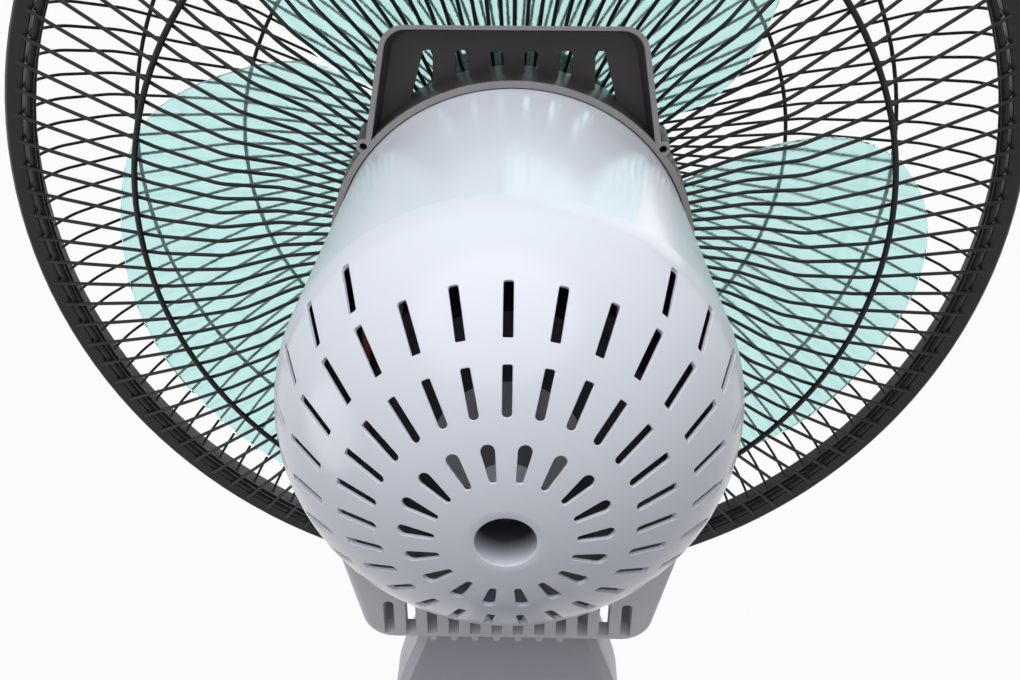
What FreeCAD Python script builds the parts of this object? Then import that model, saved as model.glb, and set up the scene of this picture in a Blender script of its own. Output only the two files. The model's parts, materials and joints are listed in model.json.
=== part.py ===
import FreeCAD, Part
import math
import os
import Sketcher

Vector = FreeCAD.Vector
document = FreeCAD.newDocument("WallFan")
sheet = document.addObject("Spreadsheet::Sheet", "Sizes")

# Driving sizes in millimetres, angles in degrees
entries = [
    ("fan_height", 315),
    ("swing_reach", 200),
    ("swing_depth", 145),
    ("hinge_drop", 248),
    ("dome_radius", 79),
    ("dome_depth", 69),
    ("housing_length", 178),
    ("housing_front_radius", 71.4),
    ("housing_wall", 2.5),
    ("well_radius", 9.3),
    ("well_wall", 2.2),
    ("well_depth", 24),
    ("slot_width", 2.9),
    ("slot_count", 27),
    ("row_one_inner", 39.4),
    ("row_one_outer", 52.3),
    ("row_two_inner", 57.8),
    ("row_two_outer", 69),
    ("row_three_inner", 71.5),
    ("row_three_outer", 78.2),
    ("drop_count", 18),
    ("drop_inner", 21.2),
    ("drop_outer", 32.8),
    ("drop_width", 5),
    ("drop_narrow", 2),
    ("ring_overlap", 5.2),
    ("ring_gap", 0.9),
    ("ring_wall", 2.4),
    ("plate_gap", 9),
    ("plate_thick", 3),
    ("tray_top", 95.2),
    ("tray_half_top", 48.25),
    ("tray_low", 43),
    ("tray_half_low", 58.5),
    ("tray_wall", 1.6),
    ("tray_lift", 3.5),
    ("tray_corner", 10),
    ("tray_fall", 6.5),
    ("tray_draw", 3),
    ("tray_slot_top", 82.5),
    ("tray_slot_width", 5.2),
    ("tray_slot_step", 13.1),
    ("corner_hole", 1.5),
    ("shroud_half", 73),
    ("shroud_waist", 112),
    ("shroud_half_waist", 72),
    ("shroud_half_low", 62.5),
    ("shroud_bottom", 160),
    ("shroud_lap", 8.2),
    ("shroud_length", 71),
    ("shroud_wall", 2.6),
    ("shroud_corner", 14),
    ("shroud_edge", 4),
    ("shroud_rise", 58),
    ("shroud_gap", 2.2),
    ("vent_count", 12),
    ("vent_pitch", 9.6),
    ("vent_width", 4.6),
    ("vent_height", 20),
    ("vent_low", 4),
    ("fin_depth", 9),
    ("neck_gap", 3),
    ("neck_half_top", 38.5),
    ("neck_half_low", 56),
    ("neck_half_depth", 17),
    ("neck_corner", 4),
    ("knuckle_radius", 19),
    ("knuckle_half", 22),
    ("knuckle_outer", 47),
    ("tilt_bolt_radius", 5),
    ("tilt_knob_radius", 12.5),
    ("tilt_knob_width", 15),
    ("pin_radius", 6),
    ("pin_length", 72),
    ("pin_sunk", 18),
    ("boss_radius", 16),
    ("boss_height", 45),
    ("washer_thick", 2),
    ("swing_motor_radius", 24),
    ("swing_motor_height", 18),
    ("run_gap", 0.05),
    ("seat_gap", 0.03),
    ("motor_radius", 47),
    ("core_back", 74),
    ("core_length", 38),
    ("rotor_radius", 26.5),
    ("air_gap", 0.5),
    ("coil_length", 13),
    ("bell_radius", 50),
    ("bell_wall", 4),
    ("snout_radius", 30),
    ("snout_length", 16),
    ("flange_radius", 64),
    ("shaft_radius", 4),
    ("bearing_radius", 8),
    ("rim_radius", 217),
    ("rim_wall", 7.7),
    ("rim_gap", 20.2),
    ("rim_width", 17),
    ("wire_radius", 0.78),
    ("front_wire", 0.65),
    ("wire_count", 116),
    ("ring_wire", 1.25),
    ("rim_wire", 1.6),
    ("front_ring", 0.9),
    ("hub_disc_outer", 56),
    ("guard_nut_radius", 43),
    ("guard_bulge", 73),
    ("badge_radius", 52),
    ("blade_clear", 27),
    ("blade_thick", 2.2),
    ("blade_offset", 18),
    ("blade_rise", 0.3),
    ("blade_turn", 5),
    ("blade_hub_radius", 32),
    ("hub_gap", 4),
    ("hub_length", 35),
    ("base_width", 150),
    ("base_height", 220),
    ("base_depth", 48),
    ("base_wall", 2.6),
    ("base_corner", 26),
    ("base_edge", 7),
    ("plate_width", 130),
    ("plate_height", 190),
    ("plate_steel", 2.5),
    ("plate_corner", 10),
    ("fixing_x", 90),
    ("fixing_z", 150),
    ("fixing_hole", 2.75),
    ("panel_width", 112),
    ("panel_height", 46),
    ("panel_thick", 3),
    ("panel_rise", 36),
    ("knob_radius", 17),
    ("knob_depth", 15),
    ("knob_shaft", 3),
    ("knob_side", 27),
    ("button_radius", 8),
    ("button_travel", 3),
    ("arm_half_root", 44),
    ("arm_half_top", 35),
    ("arm_thick_root", 27),
    ("arm_thick_top", 20),
    ("arm_rise", -20),
    ("grommet_radius", 7),
    ("grommet_hole", 3.6),
]

for row, entry in enumerate(entries, 1):
    sheet.set("A%d" % row, entry[0])
    sheet.set("B%d" % row, str(entry[1]))
    sheet.setAlias("B%d" % row, entry[0])
document.recompute()


# A size that keeps its number and its formula together
class Size:
    def __init__(self, text, number):
        self.text = text
        self.number = number

    def join(self, other, sign, number):
        return Size("(%s %s %s)" % (self.text, sign, other.text), number)

    def __add__(self, other):
        other = sized(other)
        return self.join(other, "+", self.number + other.number)

    def __radd__(self, other):
        return sized(other) + self

    def __sub__(self, other):
        other = sized(other)
        return self.join(other, "-", self.number - other.number)

    def __rsub__(self, other):
        return sized(other) - self

    def __mul__(self, other):
        other = sized(other)
        return self.join(other, "*", self.number * other.number)

    def __rmul__(self, other):
        return sized(other) * self

    def __truediv__(self, other):
        other = sized(other)
        return self.join(other, "/", self.number / other.number)

    def __neg__(self):
        return sized(0) - self


def sized(value):
    if isinstance(value, Size):
        return value
    return Size("%.6f" % value, float(value))


class Table:
    pass


s = Table()
for entry in entries:
    setattr(s, entry[0], Size("Sizes." + entry[0], float(sheet.get(entry[0]))))

# Places that follow from the driving sizes
s.ring_back = s.housing_length - s.ring_overlap
s.plate_back = s.housing_length + s.plate_gap
s.shroud_front = s.ring_back + s.shroud_lap
s.shroud_back = s.shroud_front - s.shroud_length
s.snout_end = s.plate_back + s.snout_length
s.rim_inner = s.rim_radius - s.rim_wall
s.rim_back = s.plate_back + s.plate_thick + s.rim_gap
s.guard_front = s.rim_back + s.guard_bulge
s.blade_tip = s.rim_radius - s.blade_clear
s.blade_hub_back = s.snout_end + s.hub_gap
s.blade_hub_front = s.blade_hub_back + s.hub_length
s.blade_mid = s.blade_hub_back + s.blade_offset
nodes = []


def bind(item, name, value):
    item.setExpression(name, sized(value).text)


def move(item, x, y, z):
    bind(item, "Placement.Base.x", x)
    bind(item, "Placement.Base.y", y)
    bind(item, "Placement.Base.z", z)


def block(x_low, x_high, y_low, y_high, z_low, z_high):
    item = document.addObject("Part::Box", "Block")
    bind(item, "Length", sized(x_high) - x_low)
    bind(item, "Width", sized(y_high) - y_low)
    bind(item, "Height", sized(z_high) - z_low)
    move(item, x_low, y_low, z_low)
    return item


# Round bars: start and end along the axis, then the two other coordinates
def rod(radius, start, end, first=0, second=0, axis="z"):
    item = document.addObject("Part::Cylinder", "Rod")
    bind(item, "Radius", radius)
    bind(item, "Height", sized(end) - start)
    if axis == "z":
        move(item, first, second, start)
    if axis == "x":
        item.Placement = FreeCAD.Placement(Vector(), FreeCAD.Rotation(Vector(0, 1, 0), 90))
        move(item, start, first, second)
    if axis == "y":
        item.Placement = FreeCAD.Placement(Vector(), FreeCAD.Rotation(Vector(1, 0, 0), -90))
        move(item, first, start, second)
    return item


def join(*items):
    result = document.addObject("Part::MultiFuse", "Join")
    result.Shapes = list(items)
    result.Refine = True
    return result


def gather(*items):
    result = document.addObject("Part::Compound", "Group")
    result.Links = list(items)
    return result


def cut(base, *tools):
    result = base
    for tool in tools:
        step = document.addObject("Part::Cut", "Cut")
        step.Base = result
        step.Tool = tool
        result = step
    return result


# A closed outline whose corners are each held by two bound distances
def outline(body, role, points):
    sketch = body.newObject("Sketcher::SketchObject", "Outline")
    plane = [feature for feature in body.Origin.OriginFeatures if feature.Role == role][0]
    sketch.AttachmentSupport = [(plane, "")]
    sketch.MapMode = "FlatFace"
    places = [Vector(sized(x).number, sized(y).number, 0) for x, y in points]
    count = len(places)
    for index in range(count):
        sketch.addGeometry(Part.LineSegment(places[index], places[(index + 1) % count]), False)
    for index in range(count):
        sketch.addConstraint(Sketcher.Constraint("Coincident", index, 2, (index + 1) % count, 1))
    for index in range(count):
        hold(sketch, "DistanceX", index, sized(points[index][0]), -2)
        hold(sketch, "DistanceY", index, sized(points[index][1]), -1)
    return sketch


def hold(sketch, kind, index, value, axis):
    if value.number == 0:
        sketch.addConstraint(Sketcher.Constraint("PointOnObject", index, 1, axis))
        return
    if value.number > 0:
        made = sketch.addConstraint(Sketcher.Constraint(kind, -1, 1, index, 1, value.number))
    else:
        value = -value
        made = sketch.addConstraint(Sketcher.Constraint(kind, index, 1, -1, 1, value.number))
    sketch.setExpression("Constraints[%d]" % made, value.text)


# A padded outline, with rounded upright corners where asked
def padded(points, start, end, rounds=()):
    body = document.addObject("PartDesign::Body", "Padded")
    sketch = outline(body, "XY_Plane", points)
    bind(sketch, "AttachmentOffset.Base.z", start)
    pad = body.newObject("PartDesign::Pad", "Pad")
    pad.Profile = sketch
    bind(pad, "Length", sized(end) - start)
    document.recompute()
    for corners, radius in rounds:
        last = body.Tip
        names = []
        for number, edge in enumerate(last.Shape.Edges, 1):
            if upright_at(edge, [points[corner] for corner in corners]):
                names.append("Edge%d" % number)
        fillet = body.newObject("PartDesign::Fillet", "Round")
        fillet.Base = (last, names)
        bind(fillet, "Radius", radius)
        document.recompute()
    return body


def upright_at(edge, points):
    if len(edge.Vertexes) != 2:
        return False
    low = edge.Vertexes[0].Point
    high = edge.Vertexes[1].Point
    for x, y in points:
        place = Vector(sized(x).number, sized(y).number, 0)
        if math.hypot(low.x - place.x, low.y - place.y) > 0.001:
            continue
        if math.hypot(high.x - place.x, high.y - place.y) < 0.001:
            return True
    return False


# Rounds every edge of a body that lies at one height
def soften(body, height, radius):
    last = body.Tip
    level = sized(height).number
    names = []
    for number, edge in enumerate(last.Shape.Edges, 1):
        box = edge.BoundBox
        if max(abs(box.ZMin - level), abs(box.ZMax - level)) < 0.001:
            names.append("Edge%d" % number)
    fillet = body.newObject("PartDesign::Fillet", "Soft")
    fillet.Base = (last, names)
    bind(fillet, "Radius", radius)
    document.recompute()
    return body


# A turned body from pairs of radius and height
def turned(points):
    body = document.addObject("PartDesign::Body", "Turned")
    sketch = outline(body, "XZ_Plane", points)
    turn = body.newObject("PartDesign::Revolution", "Turn")
    turn.Profile = sketch
    turn.ReferenceAxis = (sketch, ["V_Axis"])
    turn.Angle = 360
    document.recompute()
    return body


def rectangle(half_width, half_height, up=0):
    low = sized(up) - half_height
    high = sized(up) + half_height
    return [(-sized(half_width), low), (half_width, low), (half_width, high), (-sized(half_width), high)]


# Frames: the head looks along its local height, the base is seen from the front
tip_place = s.swing_depth - s.swing_reach
pivot_drop = s.fan_height - s.hinge_drop


def keep(item, label, frame):
    if item.TypeId in ("Part::Cylinder", "Part::Box"):
        item = gather(item)
    item.Label = label
    if frame == "head":
        item.Placement = FreeCAD.Placement(Vector(), FreeCAD.Rotation(Vector(1, 0, 0), 90))
        move(item, 0, tip_place, s.fan_height)
    if frame == "base":
        item.Placement = FreeCAD.Placement(Vector(), FreeCAD.Rotation(Vector(1, 0, 0), 90))
        move(item, 0, 0, 0)
    if frame == "hinge":
        move(item, 0, -s.swing_reach, pivot_drop)
    nodes.append(item)
    return item


def loose(shape, name):
    item = document.addObject("Part::Feature", name)
    item.Shape = shape
    return item


# A place by radius, angle from the top as seen from behind, and depth
def seen(radius, angle, depth):
    turn = math.radians(angle)
    return Vector(-radius * math.sin(turn), radius * math.cos(turn), depth)


def dome_point(radius):
    part = math.asin(min(0.999, radius / s.dome_radius.number))
    return Vector(radius, 0, s.dome_depth.number * (1 - math.cos(part)))


# One slot cutter with a small and a large rounded end, square to the dome
def slot(inner, outer, small, large, angle):
    low = dome_point(inner)
    high = dome_point(outer)
    along = (high - low).normalize()
    normal = Vector(along.z, 0, -along.x)
    side = Vector(0, 1, 0)
    start = low + along * small
    span = (high - low).Length - small - large
    lean = (small - large) / span
    rise = math.sqrt(1 - lean * lean)
    corners = []
    for centre, radius in ((start, small), (start + along * span, large)):
        for sign in (1, -1):
            corners.append(centre + along * (lean * radius) + side * (sign * rise * radius))
    ends = (start - along * small, start + along * (span + large))
    edges = [
        Part.LineSegment(corners[0], corners[2]).toShape(),
        Part.Arc(corners[2], ends[1], corners[3]).toShape(),
        Part.LineSegment(corners[3], corners[1]).toShape(),
        Part.Arc(corners[1], ends[0], corners[0]).toShape(),
    ]
    face = Part.Face(Part.Wire(edges))
    face.translate(normal * -6)
    solid = face.extrude(normal * 13)
    solid.rotate(Vector(), Vector(0, 0, 1), 90 + angle)
    return solid


# Slots and teardrops in the dome
half_slot = s.slot_width.number / 2
slot_total = int(round(s.slot_count.number))
cutters = []
for index in range(slot_total):
    angle = 360 * index / slot_total
    cutters.append(slot(s.row_one_inner.number, s.row_one_outer.number, half_slot, half_slot, angle))
    cutters.append(slot(s.row_two_inner.number, s.row_two_outer.number, half_slot, half_slot, angle))
    if 35 < min(angle, 360 - angle) < 145:
        cutters.append(slot(s.row_three_inner.number, s.row_three_outer.number, half_slot,
                            half_slot, angle))
drops = int(round(s.drop_count.number))
for index in range(drops):
    angle = (index + 0.5) * 360 / drops
    cutters.append(slot(s.drop_inner.number, s.drop_outer.number, s.drop_narrow.number / 2,
                        s.drop_width.number / 2, angle))
slots = loose(Part.makeCompound(cutters), "SlotCutters")


# Motor housing: elliptical dome and cone shell with a screw well at the back
def quarter(radius, depth, centre, inner):
    curve = Part.Ellipse(Vector(radius, 0, centre), Vector(0, 0, centre - depth), Vector(0, 0, centre))
    start = Vector(inner, 0, centre - depth * math.sqrt(1 - (inner / radius) ** 2))
    end = Vector(radius, 0, centre)
    first = curve.parameter(start)
    last = curve.parameter(end)
    if abs(first - last) < math.pi:
        return curve.toShape(min(first, last), max(first, last)), start, end
    return curve.toShape(max(first, last), min(first, last) + 2 * math.pi), start, end


pole = s.well_radius.number / 2
dome = s.dome_radius.number
deep = s.dome_depth.number
skin = s.housing_wall.number
outer_arc, outer_pole, outer_edge = quarter(dome, deep, deep, pole)
inner_arc, inner_pole, inner_edge = quarter(dome - skin, deep - skin, deep, pole)
outer_end = Vector(s.housing_front_radius.number, 0, s.housing_length.number)
inner_end = outer_end - Vector(skin, 0, 0)
shell_edges = [
    outer_arc,
    Part.makeLine(outer_edge, outer_end),
    Part.makeLine(outer_end, inner_end),
    Part.makeLine(inner_end, inner_edge),
    inner_arc,
    Part.makeLine(inner_pole, outer_pole),
]
seam_turn = 268.5
shell_face = Part.Face(Part.Wire(Part.sortEdges(shell_edges)[0]))
shell_solid = shell_face.revolve(Vector(), Vector(0, 0, 1), 360)
shell_solid.rotate(Vector(), Vector(0, 0, 1), seam_turn)
shell = loose(shell_solid, "HousingShell")
shell = cut(shell, slots)
well_tube = rod(s.well_radius + s.well_wall, s.housing_wall - 1, s.well_depth)
well_hole = rod(s.well_radius, -1, s.well_depth - s.well_wall)
screw_way = rod(2.3, 0, s.well_depth + 1)
keep(cut(join(shell, well_tube), well_hole, screw_way), "motor_housing", "head")

# Housing screw in the well
head_low = s.well_depth - s.well_wall
keep(join(rod(4.2, head_low - 3, head_low - s.seat_gap), rod(2, head_low - 1, s.well_depth + 11)),
     "housing_screw", "head")

# Rear bell of the motor
bell_back = s.well_depth + s.seat_gap
core_front = s.core_back + s.core_length
plate_low = s.core_back - s.coil_length - 11
keep(turned([
    (s.shaft_radius + 3, s.well_depth + 18),
    (s.bearing_radius + s.seat_gap, s.well_depth + 18),
    (s.bearing_radius + s.seat_gap, plate_low + s.bell_wall),
    (s.bell_radius - s.bell_wall, plate_low + s.bell_wall),
    (s.bell_radius - s.bell_wall, s.core_back - s.seat_gap),
    (s.bell_radius, s.core_back - s.seat_gap),
    (s.bell_radius, plate_low),
    (s.bearing_radius + 5, plate_low),
    (s.bearing_radius + 3, bell_back),
    (2.05, bell_back),
    (2.05, s.well_depth + 14),
    (s.shaft_radius + 3, s.well_depth + 14),
]), "rear_bell", "head")

# Front bell with the snout that carries the guard
plate_high = core_front + s.coil_length + 11
plate_front = s.plate_back + s.plate_thick
bell = turned([
    (s.bearing_radius + s.seat_gap, s.plate_back),
    (s.snout_radius - 6, s.plate_back),
    (s.snout_radius - 6, plate_high),
    (s.snout_radius - 6, plate_high - s.bell_wall),
    (s.bell_radius - s.bell_wall, plate_high - s.bell_wall),
    (s.bell_radius - s.bell_wall, core_front + s.seat_gap),
    (s.bell_radius, core_front + s.seat_gap),
    (s.bell_radius, plate_high),
    (s.snout_radius, plate_high + 3),
    (s.snout_radius, s.plate_back - 5),
    (s.flange_radius, s.plate_back - 5),
    (s.flange_radius, s.plate_back - s.seat_gap),
    (s.snout_radius, s.plate_back - s.seat_gap),
    (s.snout_radius, s.snout_end),
    (s.bearing_radius + s.seat_gap, s.snout_end),
])
flange_bolt = s.flange_radius - 4
flange_holes = [
    rod(2.1, s.plate_back - 6, s.plate_back + 1, flange_bolt * x, flange_bolt * y)
    for x, y in ((0.8, 0.6), (-0.8, 0.6), (0.8, -0.6), (-0.8, -0.6))
]
keep(cut(bell, *flange_holes), "front_bell", "head")

# Shaft sleeves
keep(cut(rod(s.bearing_radius, plate_low - 6, plate_low + s.bell_wall),
         rod(s.shaft_radius + s.run_gap, plate_low - 7, plate_low + s.bell_wall + 1)),
     "rear_bearing", "head")
keep(cut(rod(s.bearing_radius, s.plate_back + 2, s.snout_end - 1),
         rod(s.shaft_radius + s.run_gap, s.plate_back + 1, s.snout_end)), "front_bearing", "head")

# Stator core and coil heads
core_ring = cut(rod(s.motor_radius + 2, s.core_back, core_front),
                rod(s.rotor_radius + s.air_gap, s.core_back - 1, core_front + 1))
bolt_places = ((0.7071, 0.7071), (-0.7071, 0.7071), (0.7071, -0.7071), (-0.7071, -0.7071))
bolt_ring = s.bell_radius + 4
lugs = [rod(5.5, s.core_back, core_front, bolt_ring * x, bolt_ring * y) for x, y in bolt_places]
lug_holes = [rod(2.1, s.core_back - 1, core_front + 1, bolt_ring * x, bolt_ring * y)
             for x, y in bolt_places]
keep(cut(join(core_ring, *lugs), *lug_holes), "stator_core", "head")
coil_outer = s.motor_radius - 4
coil_inner = s.rotor_radius + 3
coils = []
for low, high in ((s.core_back - s.coil_length, s.core_back - s.seat_gap),
                  (core_front + s.seat_gap, core_front + s.coil_length)):
    coils.append(turned([
        (coil_inner, low + 3),
        (coil_inner + 3, low),
        (coil_outer - 3, low),
        (coil_outer, low + 3),
        (coil_outer, high - 3),
        (coil_outer - 3, high),
        (coil_inner + 3, high),
        (coil_inner, high - 3),
    ]))
keep(gather(*coils), "windings", "head")

# Bolts through the lugs of the core
motor_bolts = []
for x, y in bolt_places:
    across = bolt_ring * x
    up = bolt_ring * y
    motor_bolts.append(join(
        rod(2, s.core_back - 4, core_front + 4, across, up),
        rod(4, s.core_back - 4, s.core_back - s.seat_gap, across, up),
        rod(4, core_front + s.seat_gap, core_front + 4, across, up),
    ))
keep(gather(*motor_bolts), "motor_bolts", "head")

# Red leads from the rear bell, past the core, to the front bell
bell = s.bell_radius.number
bell_side = bell + 1.4
back = plate_low.number
lead_paths = (
    (
        seen(0.94 * bell, -100, back - 1.38),
        seen(0.928 * bell, -83, back - 2.6),
        seen(1.032 * bell, -60, back - 5.5),
        seen(1.208 * bell, -46, back - 1.5),
        seen(1.274 * bell, -46, back + 12),
        seen(1.252 * bell, -54, s.core_back.number + 14),
        seen(1.162 * bell, -63, core_front.number),
        seen(bell_side, -67, core_front.number + 16),
    ),
    (
        seen(bell_side, -100, back + 7),
        seen(1.1 * bell, -90, back),
        seen(1.174 * bell, -78, back - 3),
        seen(1.24 * bell, -69, back + 2),
        seen(1.284 * bell, -72, back + 14),
        seen(1.24 * bell, -82.5, s.core_back.number + 16),
        seen(1.152 * bell, -86, core_front.number + 2),
        seen(bell_side, -85.5, core_front.number + 16),
    ),
)
leads = []
for path in lead_paths:
    curve = Part.BSplineCurve()
    curve.interpolate(list(path))
    spine = Part.Wire(curve.toShape())
    start = curve.value(curve.FirstParameter)
    heading = curve.tangent(curve.FirstParameter)[0]
    section = Part.Wire(Part.makeCircle(1.3, start, heading))
    leads.append(spine.makePipeShell([section], True, True))
keep(loose(Part.makeCompound(leads), "Leads"), "lead_wires", "head")

# Head bracket: ring, front plate and the slotted tray on top
ring_inner = s.housing_front_radius + s.ring_gap
ring_outer = ring_inner + s.ring_wall
def tray_outline(inset, drawn, depth):
    low = s.tray_low.number - 2.2 * inset
    top = s.tray_top.number - inset - drawn * s.tray_fall.number
    half_low = s.tray_half_low.number - inset - drawn * s.tray_draw.number
    half_top = s.tray_half_top.number - inset - drawn * s.tray_draw.number
    radius = s.tray_corner.number - inset
    edges = []
    ends = []
    for side in (1, -1):
        foot = Vector(side * half_low, low, depth)
        corner = Vector(side * half_top, top, depth)
        down = (foot - corner).normalize()
        level = Vector(-side, 0, 0)
        half = down.getAngle(level) / 2
        reach = radius / math.tan(half)
        middle = corner + (down + level).normalize() * (radius / math.sin(half))
        crown = middle + (corner - middle).normalize() * radius
        ends.append((foot, corner + down * reach, corner + level * reach))
        edges.append(Part.Arc(ends[-1][1], crown, ends[-1][2]).toShape())
        edges.append(Part.LineSegment(foot, ends[-1][1]).toShape())
    edges.append(Part.LineSegment(ends[0][2], ends[1][2]).toShape())
    edges.append(Part.LineSegment(ends[0][0], ends[1][0]).toShape())
    return Part.Wire(Part.sortEdges(edges)[0])


tray_back = s.ring_back.number
tray_front = plate_front.number
tray_face = s.plate_back - s.tray_lift
tray_floor = tray_face.number
tray = loose(Part.makeLoft([tray_outline(0, 0, tray_back), tray_outline(0, 1, tray_front)], True, True),
             "TrayWall")
tray_share = (tray_floor - tray_back) / (tray_front - tray_back)
hollow = loose(Part.makeLoft([tray_outline(s.tray_wall.number, 0, tray_back),
                              tray_outline(s.tray_wall.number, tray_share, tray_floor)], True, True),
               "TrayHollow")
tray_slots = []
for place in (-1.5, -0.5, 0.5, 1.5):
    middle = s.tray_slot_step * place
    tray_slots.append(padded(
        [(middle - s.tray_slot_width / 2, s.tray_slot_top - 16),
         (middle + s.tray_slot_width / 2, s.tray_slot_top - 16),
         (middle + s.tray_slot_width / 2, s.tray_slot_top),
         (middle - s.tray_slot_width / 2, s.tray_slot_top)],
        tray_face - 1, plate_front + 1, [((2, 3), s.tray_slot_width * 0.4)]))
for side in (1, -1):
    near = s.tray_slot_step * 2.33
    points = [
        (near * side + 1.0 * side, s.tray_slot_top - 24),
        (near * side + 10.4 * side, s.tray_slot_top - 24),
        (near * side + 3.6 * side, s.tray_slot_top),
        (near * side, s.tray_slot_top),
    ]
    tray_slots.append(padded(points, tray_face - 1, plate_front + 1, [((2, 3), 1.2)]))
ring = rod(ring_outer, s.ring_back, plate_front)
corner_ring = ring_outer + 0.8
corner_posts = [rod(2.8, s.ring_back, plate_front, corner_ring * 0.767 * side, corner_ring * 0.6416)
                for side in (1, -1)]
corner_holes = [rod(s.corner_hole, s.ring_back - 1, s.ring_back + 11, corner_ring * 0.767 * side,
                    corner_ring * 0.6416) for side in (1, -1)]
saddle_low = -(ring_outer + 9)
saddle_screw = s.ring_back + 10.4
saddle = block(-31, 31, saddle_low, 6 - ring_outer, s.ring_back + 1, s.plate_back)
bracket = join(cut(tray, hollow, *tray_slots), ring, saddle, *corner_posts)
bore = rod(ring_inner, s.ring_back - 1, s.plate_back)
snout_hole = rod(s.snout_radius + s.seat_gap, s.plate_back - 1, plate_front + 1)
bracket_holes = [
    rod(2.1, s.plate_back - 1, plate_front + 1, flange_bolt * x, flange_bolt * y)
    for x, y in ((0.8, 0.6), (-0.8, 0.6), (0.8, -0.6), (-0.8, -0.6))
]
saddle_holes = [rod(2.1, saddle_low - 1, saddle_low + 8, 22 * side, saddle_screw, "y") for side in (1, -1)]
keep(cut(bracket, bore, snout_hole, *corner_holes, *bracket_holes, *saddle_holes), "head_bracket", "head")

# Screws between the bracket and the front bell
bracket_screws = []
for x, y in ((0.8, 0.6), (-0.8, 0.6), (0.8, -0.6), (-0.8, -0.6)):
    bracket_screws.append(join(
        rod(2, s.plate_back - 5, plate_front + 1, flange_bolt * x, flange_bolt * y),
        rod(3.8, plate_front + s.seat_gap, plate_front + 2.4, flange_bolt * x, flange_bolt * y),
    ))
keep(gather(*bracket_screws), "bracket_screws", "head")

# Pivot block under the ring, on the swing pin
neck_top = -(s.shroud_bottom + s.neck_gap)
boss_low = neck_top + s.washer_thick + s.run_gap
boss_high = boss_low + s.boss_height
wall_back = s.shroud_front - s.shroud_wall - 7.5
wall_front = s.shroud_front - s.shroud_wall - 0.1
pivot = join(
    rod(s.boss_radius, boss_low, boss_high, 0, s.swing_depth, "y"),
    block(-11, 11, boss_low + 4, boss_high, s.swing_depth, wall_back + 2),
    block(-30, 30, boss_low + 12, saddle_low - s.seat_gap, wall_back, wall_front),
    block(-30, 30, saddle_low - 12, saddle_low - s.seat_gap, wall_back, s.plate_back),
    rod(5, boss_high - 8, boss_high + 8, 29, s.swing_depth, "y"),
    rod(5, boss_high - 8, boss_high + 8, -29, s.swing_depth, "y"),
    block(-32, 32, boss_high - 8, boss_high, s.swing_depth - 5, s.swing_depth + 5),
)
pivot_bore = rod(s.pin_radius + s.run_gap, boss_low - 1, boss_high + 1, 0, s.swing_depth, "y")
pivot_holes = [rod(2.1, saddle_low - 13, saddle_low + 1, 22 * side, saddle_screw, "y") for side in (1, -1)]
shroud_bolt_up = boss_low + 22
shroud_holes = [rod(1.6, wall_back - 1, wall_front + 1, 22 * side, shroud_bolt_up) for side in (1, -1)]
keep(cut(pivot, pivot_bore, *pivot_holes, *shroud_holes), "pivot_block", "head")
pivot_screws = []
for side in (1, -1):
    pivot_screws.append(join(
        rod(2, saddle_low - 13, saddle_low + 7, 22 * side, saddle_screw, "y"),
        rod(3.8, saddle_low - 15, saddle_low - 12 - s.seat_gap, 22 * side, saddle_screw, "y"),
    ))
keep(gather(*pivot_screws), "pivot_screws", "head")

# Swing motor over the pin
motor_low = boss_high + 8 + s.seat_gap
swing_case = join(
    rod(s.swing_motor_radius, motor_low, motor_low + s.swing_motor_height, 0, s.swing_depth, "y"),
    block(-35, 35, motor_low, motor_low + 2.5, s.swing_depth - 7, s.swing_depth + 7),
)
drive_hole = rod(s.pin_radius + s.run_gap, motor_low - 1, motor_low + 8, 0, s.swing_depth, "y")
keep(cut(swing_case, drive_hole), "swing_motor", "head")

# Lower shroud with its row of vents
shroud_low = -s.shroud_bottom


def shroud_outline(inset, high):
    low = shroud_low + inset
    half_low = s.shroud_half_low - inset
    half_waist = s.shroud_half_waist - inset
    half_high = s.shroud_half - inset
    return [(-half_low, low), (half_low, low), (half_waist, -s.shroud_waist), (half_high, high),
            (-half_high, high), (-half_waist, -s.shroud_waist)]


shroud = soften(padded(shroud_outline(sized(0), -s.shroud_rise), s.shroud_back, s.shroud_front,
                       [((0, 1), s.shroud_corner)]), s.shroud_back, s.shroud_edge)
shroud_hollow = padded(shroud_outline(s.shroud_wall, 5 - s.shroud_rise), s.shroud_back + s.shroud_wall,
                       s.shroud_front - s.shroud_wall, [((0, 1), s.shroud_corner - s.shroud_wall)])
vent_low = shroud_low + s.vent_low
vent_high = vent_low + s.vent_height
vents = int(round(s.vent_count.number))
fin_half = s.vent_pitch * ((vents - 1) / 2) + s.vent_width / 2 + 1.2
fin_front = s.shroud_back + s.fin_depth
fins = block(-fin_half, fin_half, vent_low - 2, vent_high + 3, s.shroud_back + 2, fin_front)
vent_cutters = []
for index in range(vents):
    middle = s.vent_pitch * (index - (vents - 1) / 2)
    vent_cutters.append(padded(
        [(middle - s.vent_width / 2, vent_low),
         (middle + s.vent_width / 2, vent_low),
         (middle + s.vent_width / 2, vent_high),
         (middle - s.vent_width / 2, vent_high)],
        s.shroud_back - 1, fin_front + 1, [((2, 3), s.vent_width * 0.42)]))
head_room = rod(ring_outer + s.shroud_gap, s.shroud_back - 2, s.shroud_front + 2)
boss_room = rod(s.boss_radius + 3, shroud_low - 1, shroud_low + 8, 0, s.swing_depth, "y")
saddle_room = block(-33, 33, saddle_low - 19, saddle_low + 20, wall_front - 8, s.shroud_front + 1)
floor_ways = []
way_near = s.neck_half_top + 1.5
way_far = s.shroud_half_low - s.shroud_corner + 3
for low, high in ((way_near, way_far), (-way_far, -way_near)):
    floor_ways.append(block(low, high, shroud_low - 1, shroud_low + 8, fin_front + 0.5, wall_back - 4))
screw_room = [rod(1.8, wall_front - 1, s.shroud_front + 1, 22 * side, shroud_bolt_up) for side in (1, -1)]
bumps = []
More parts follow.
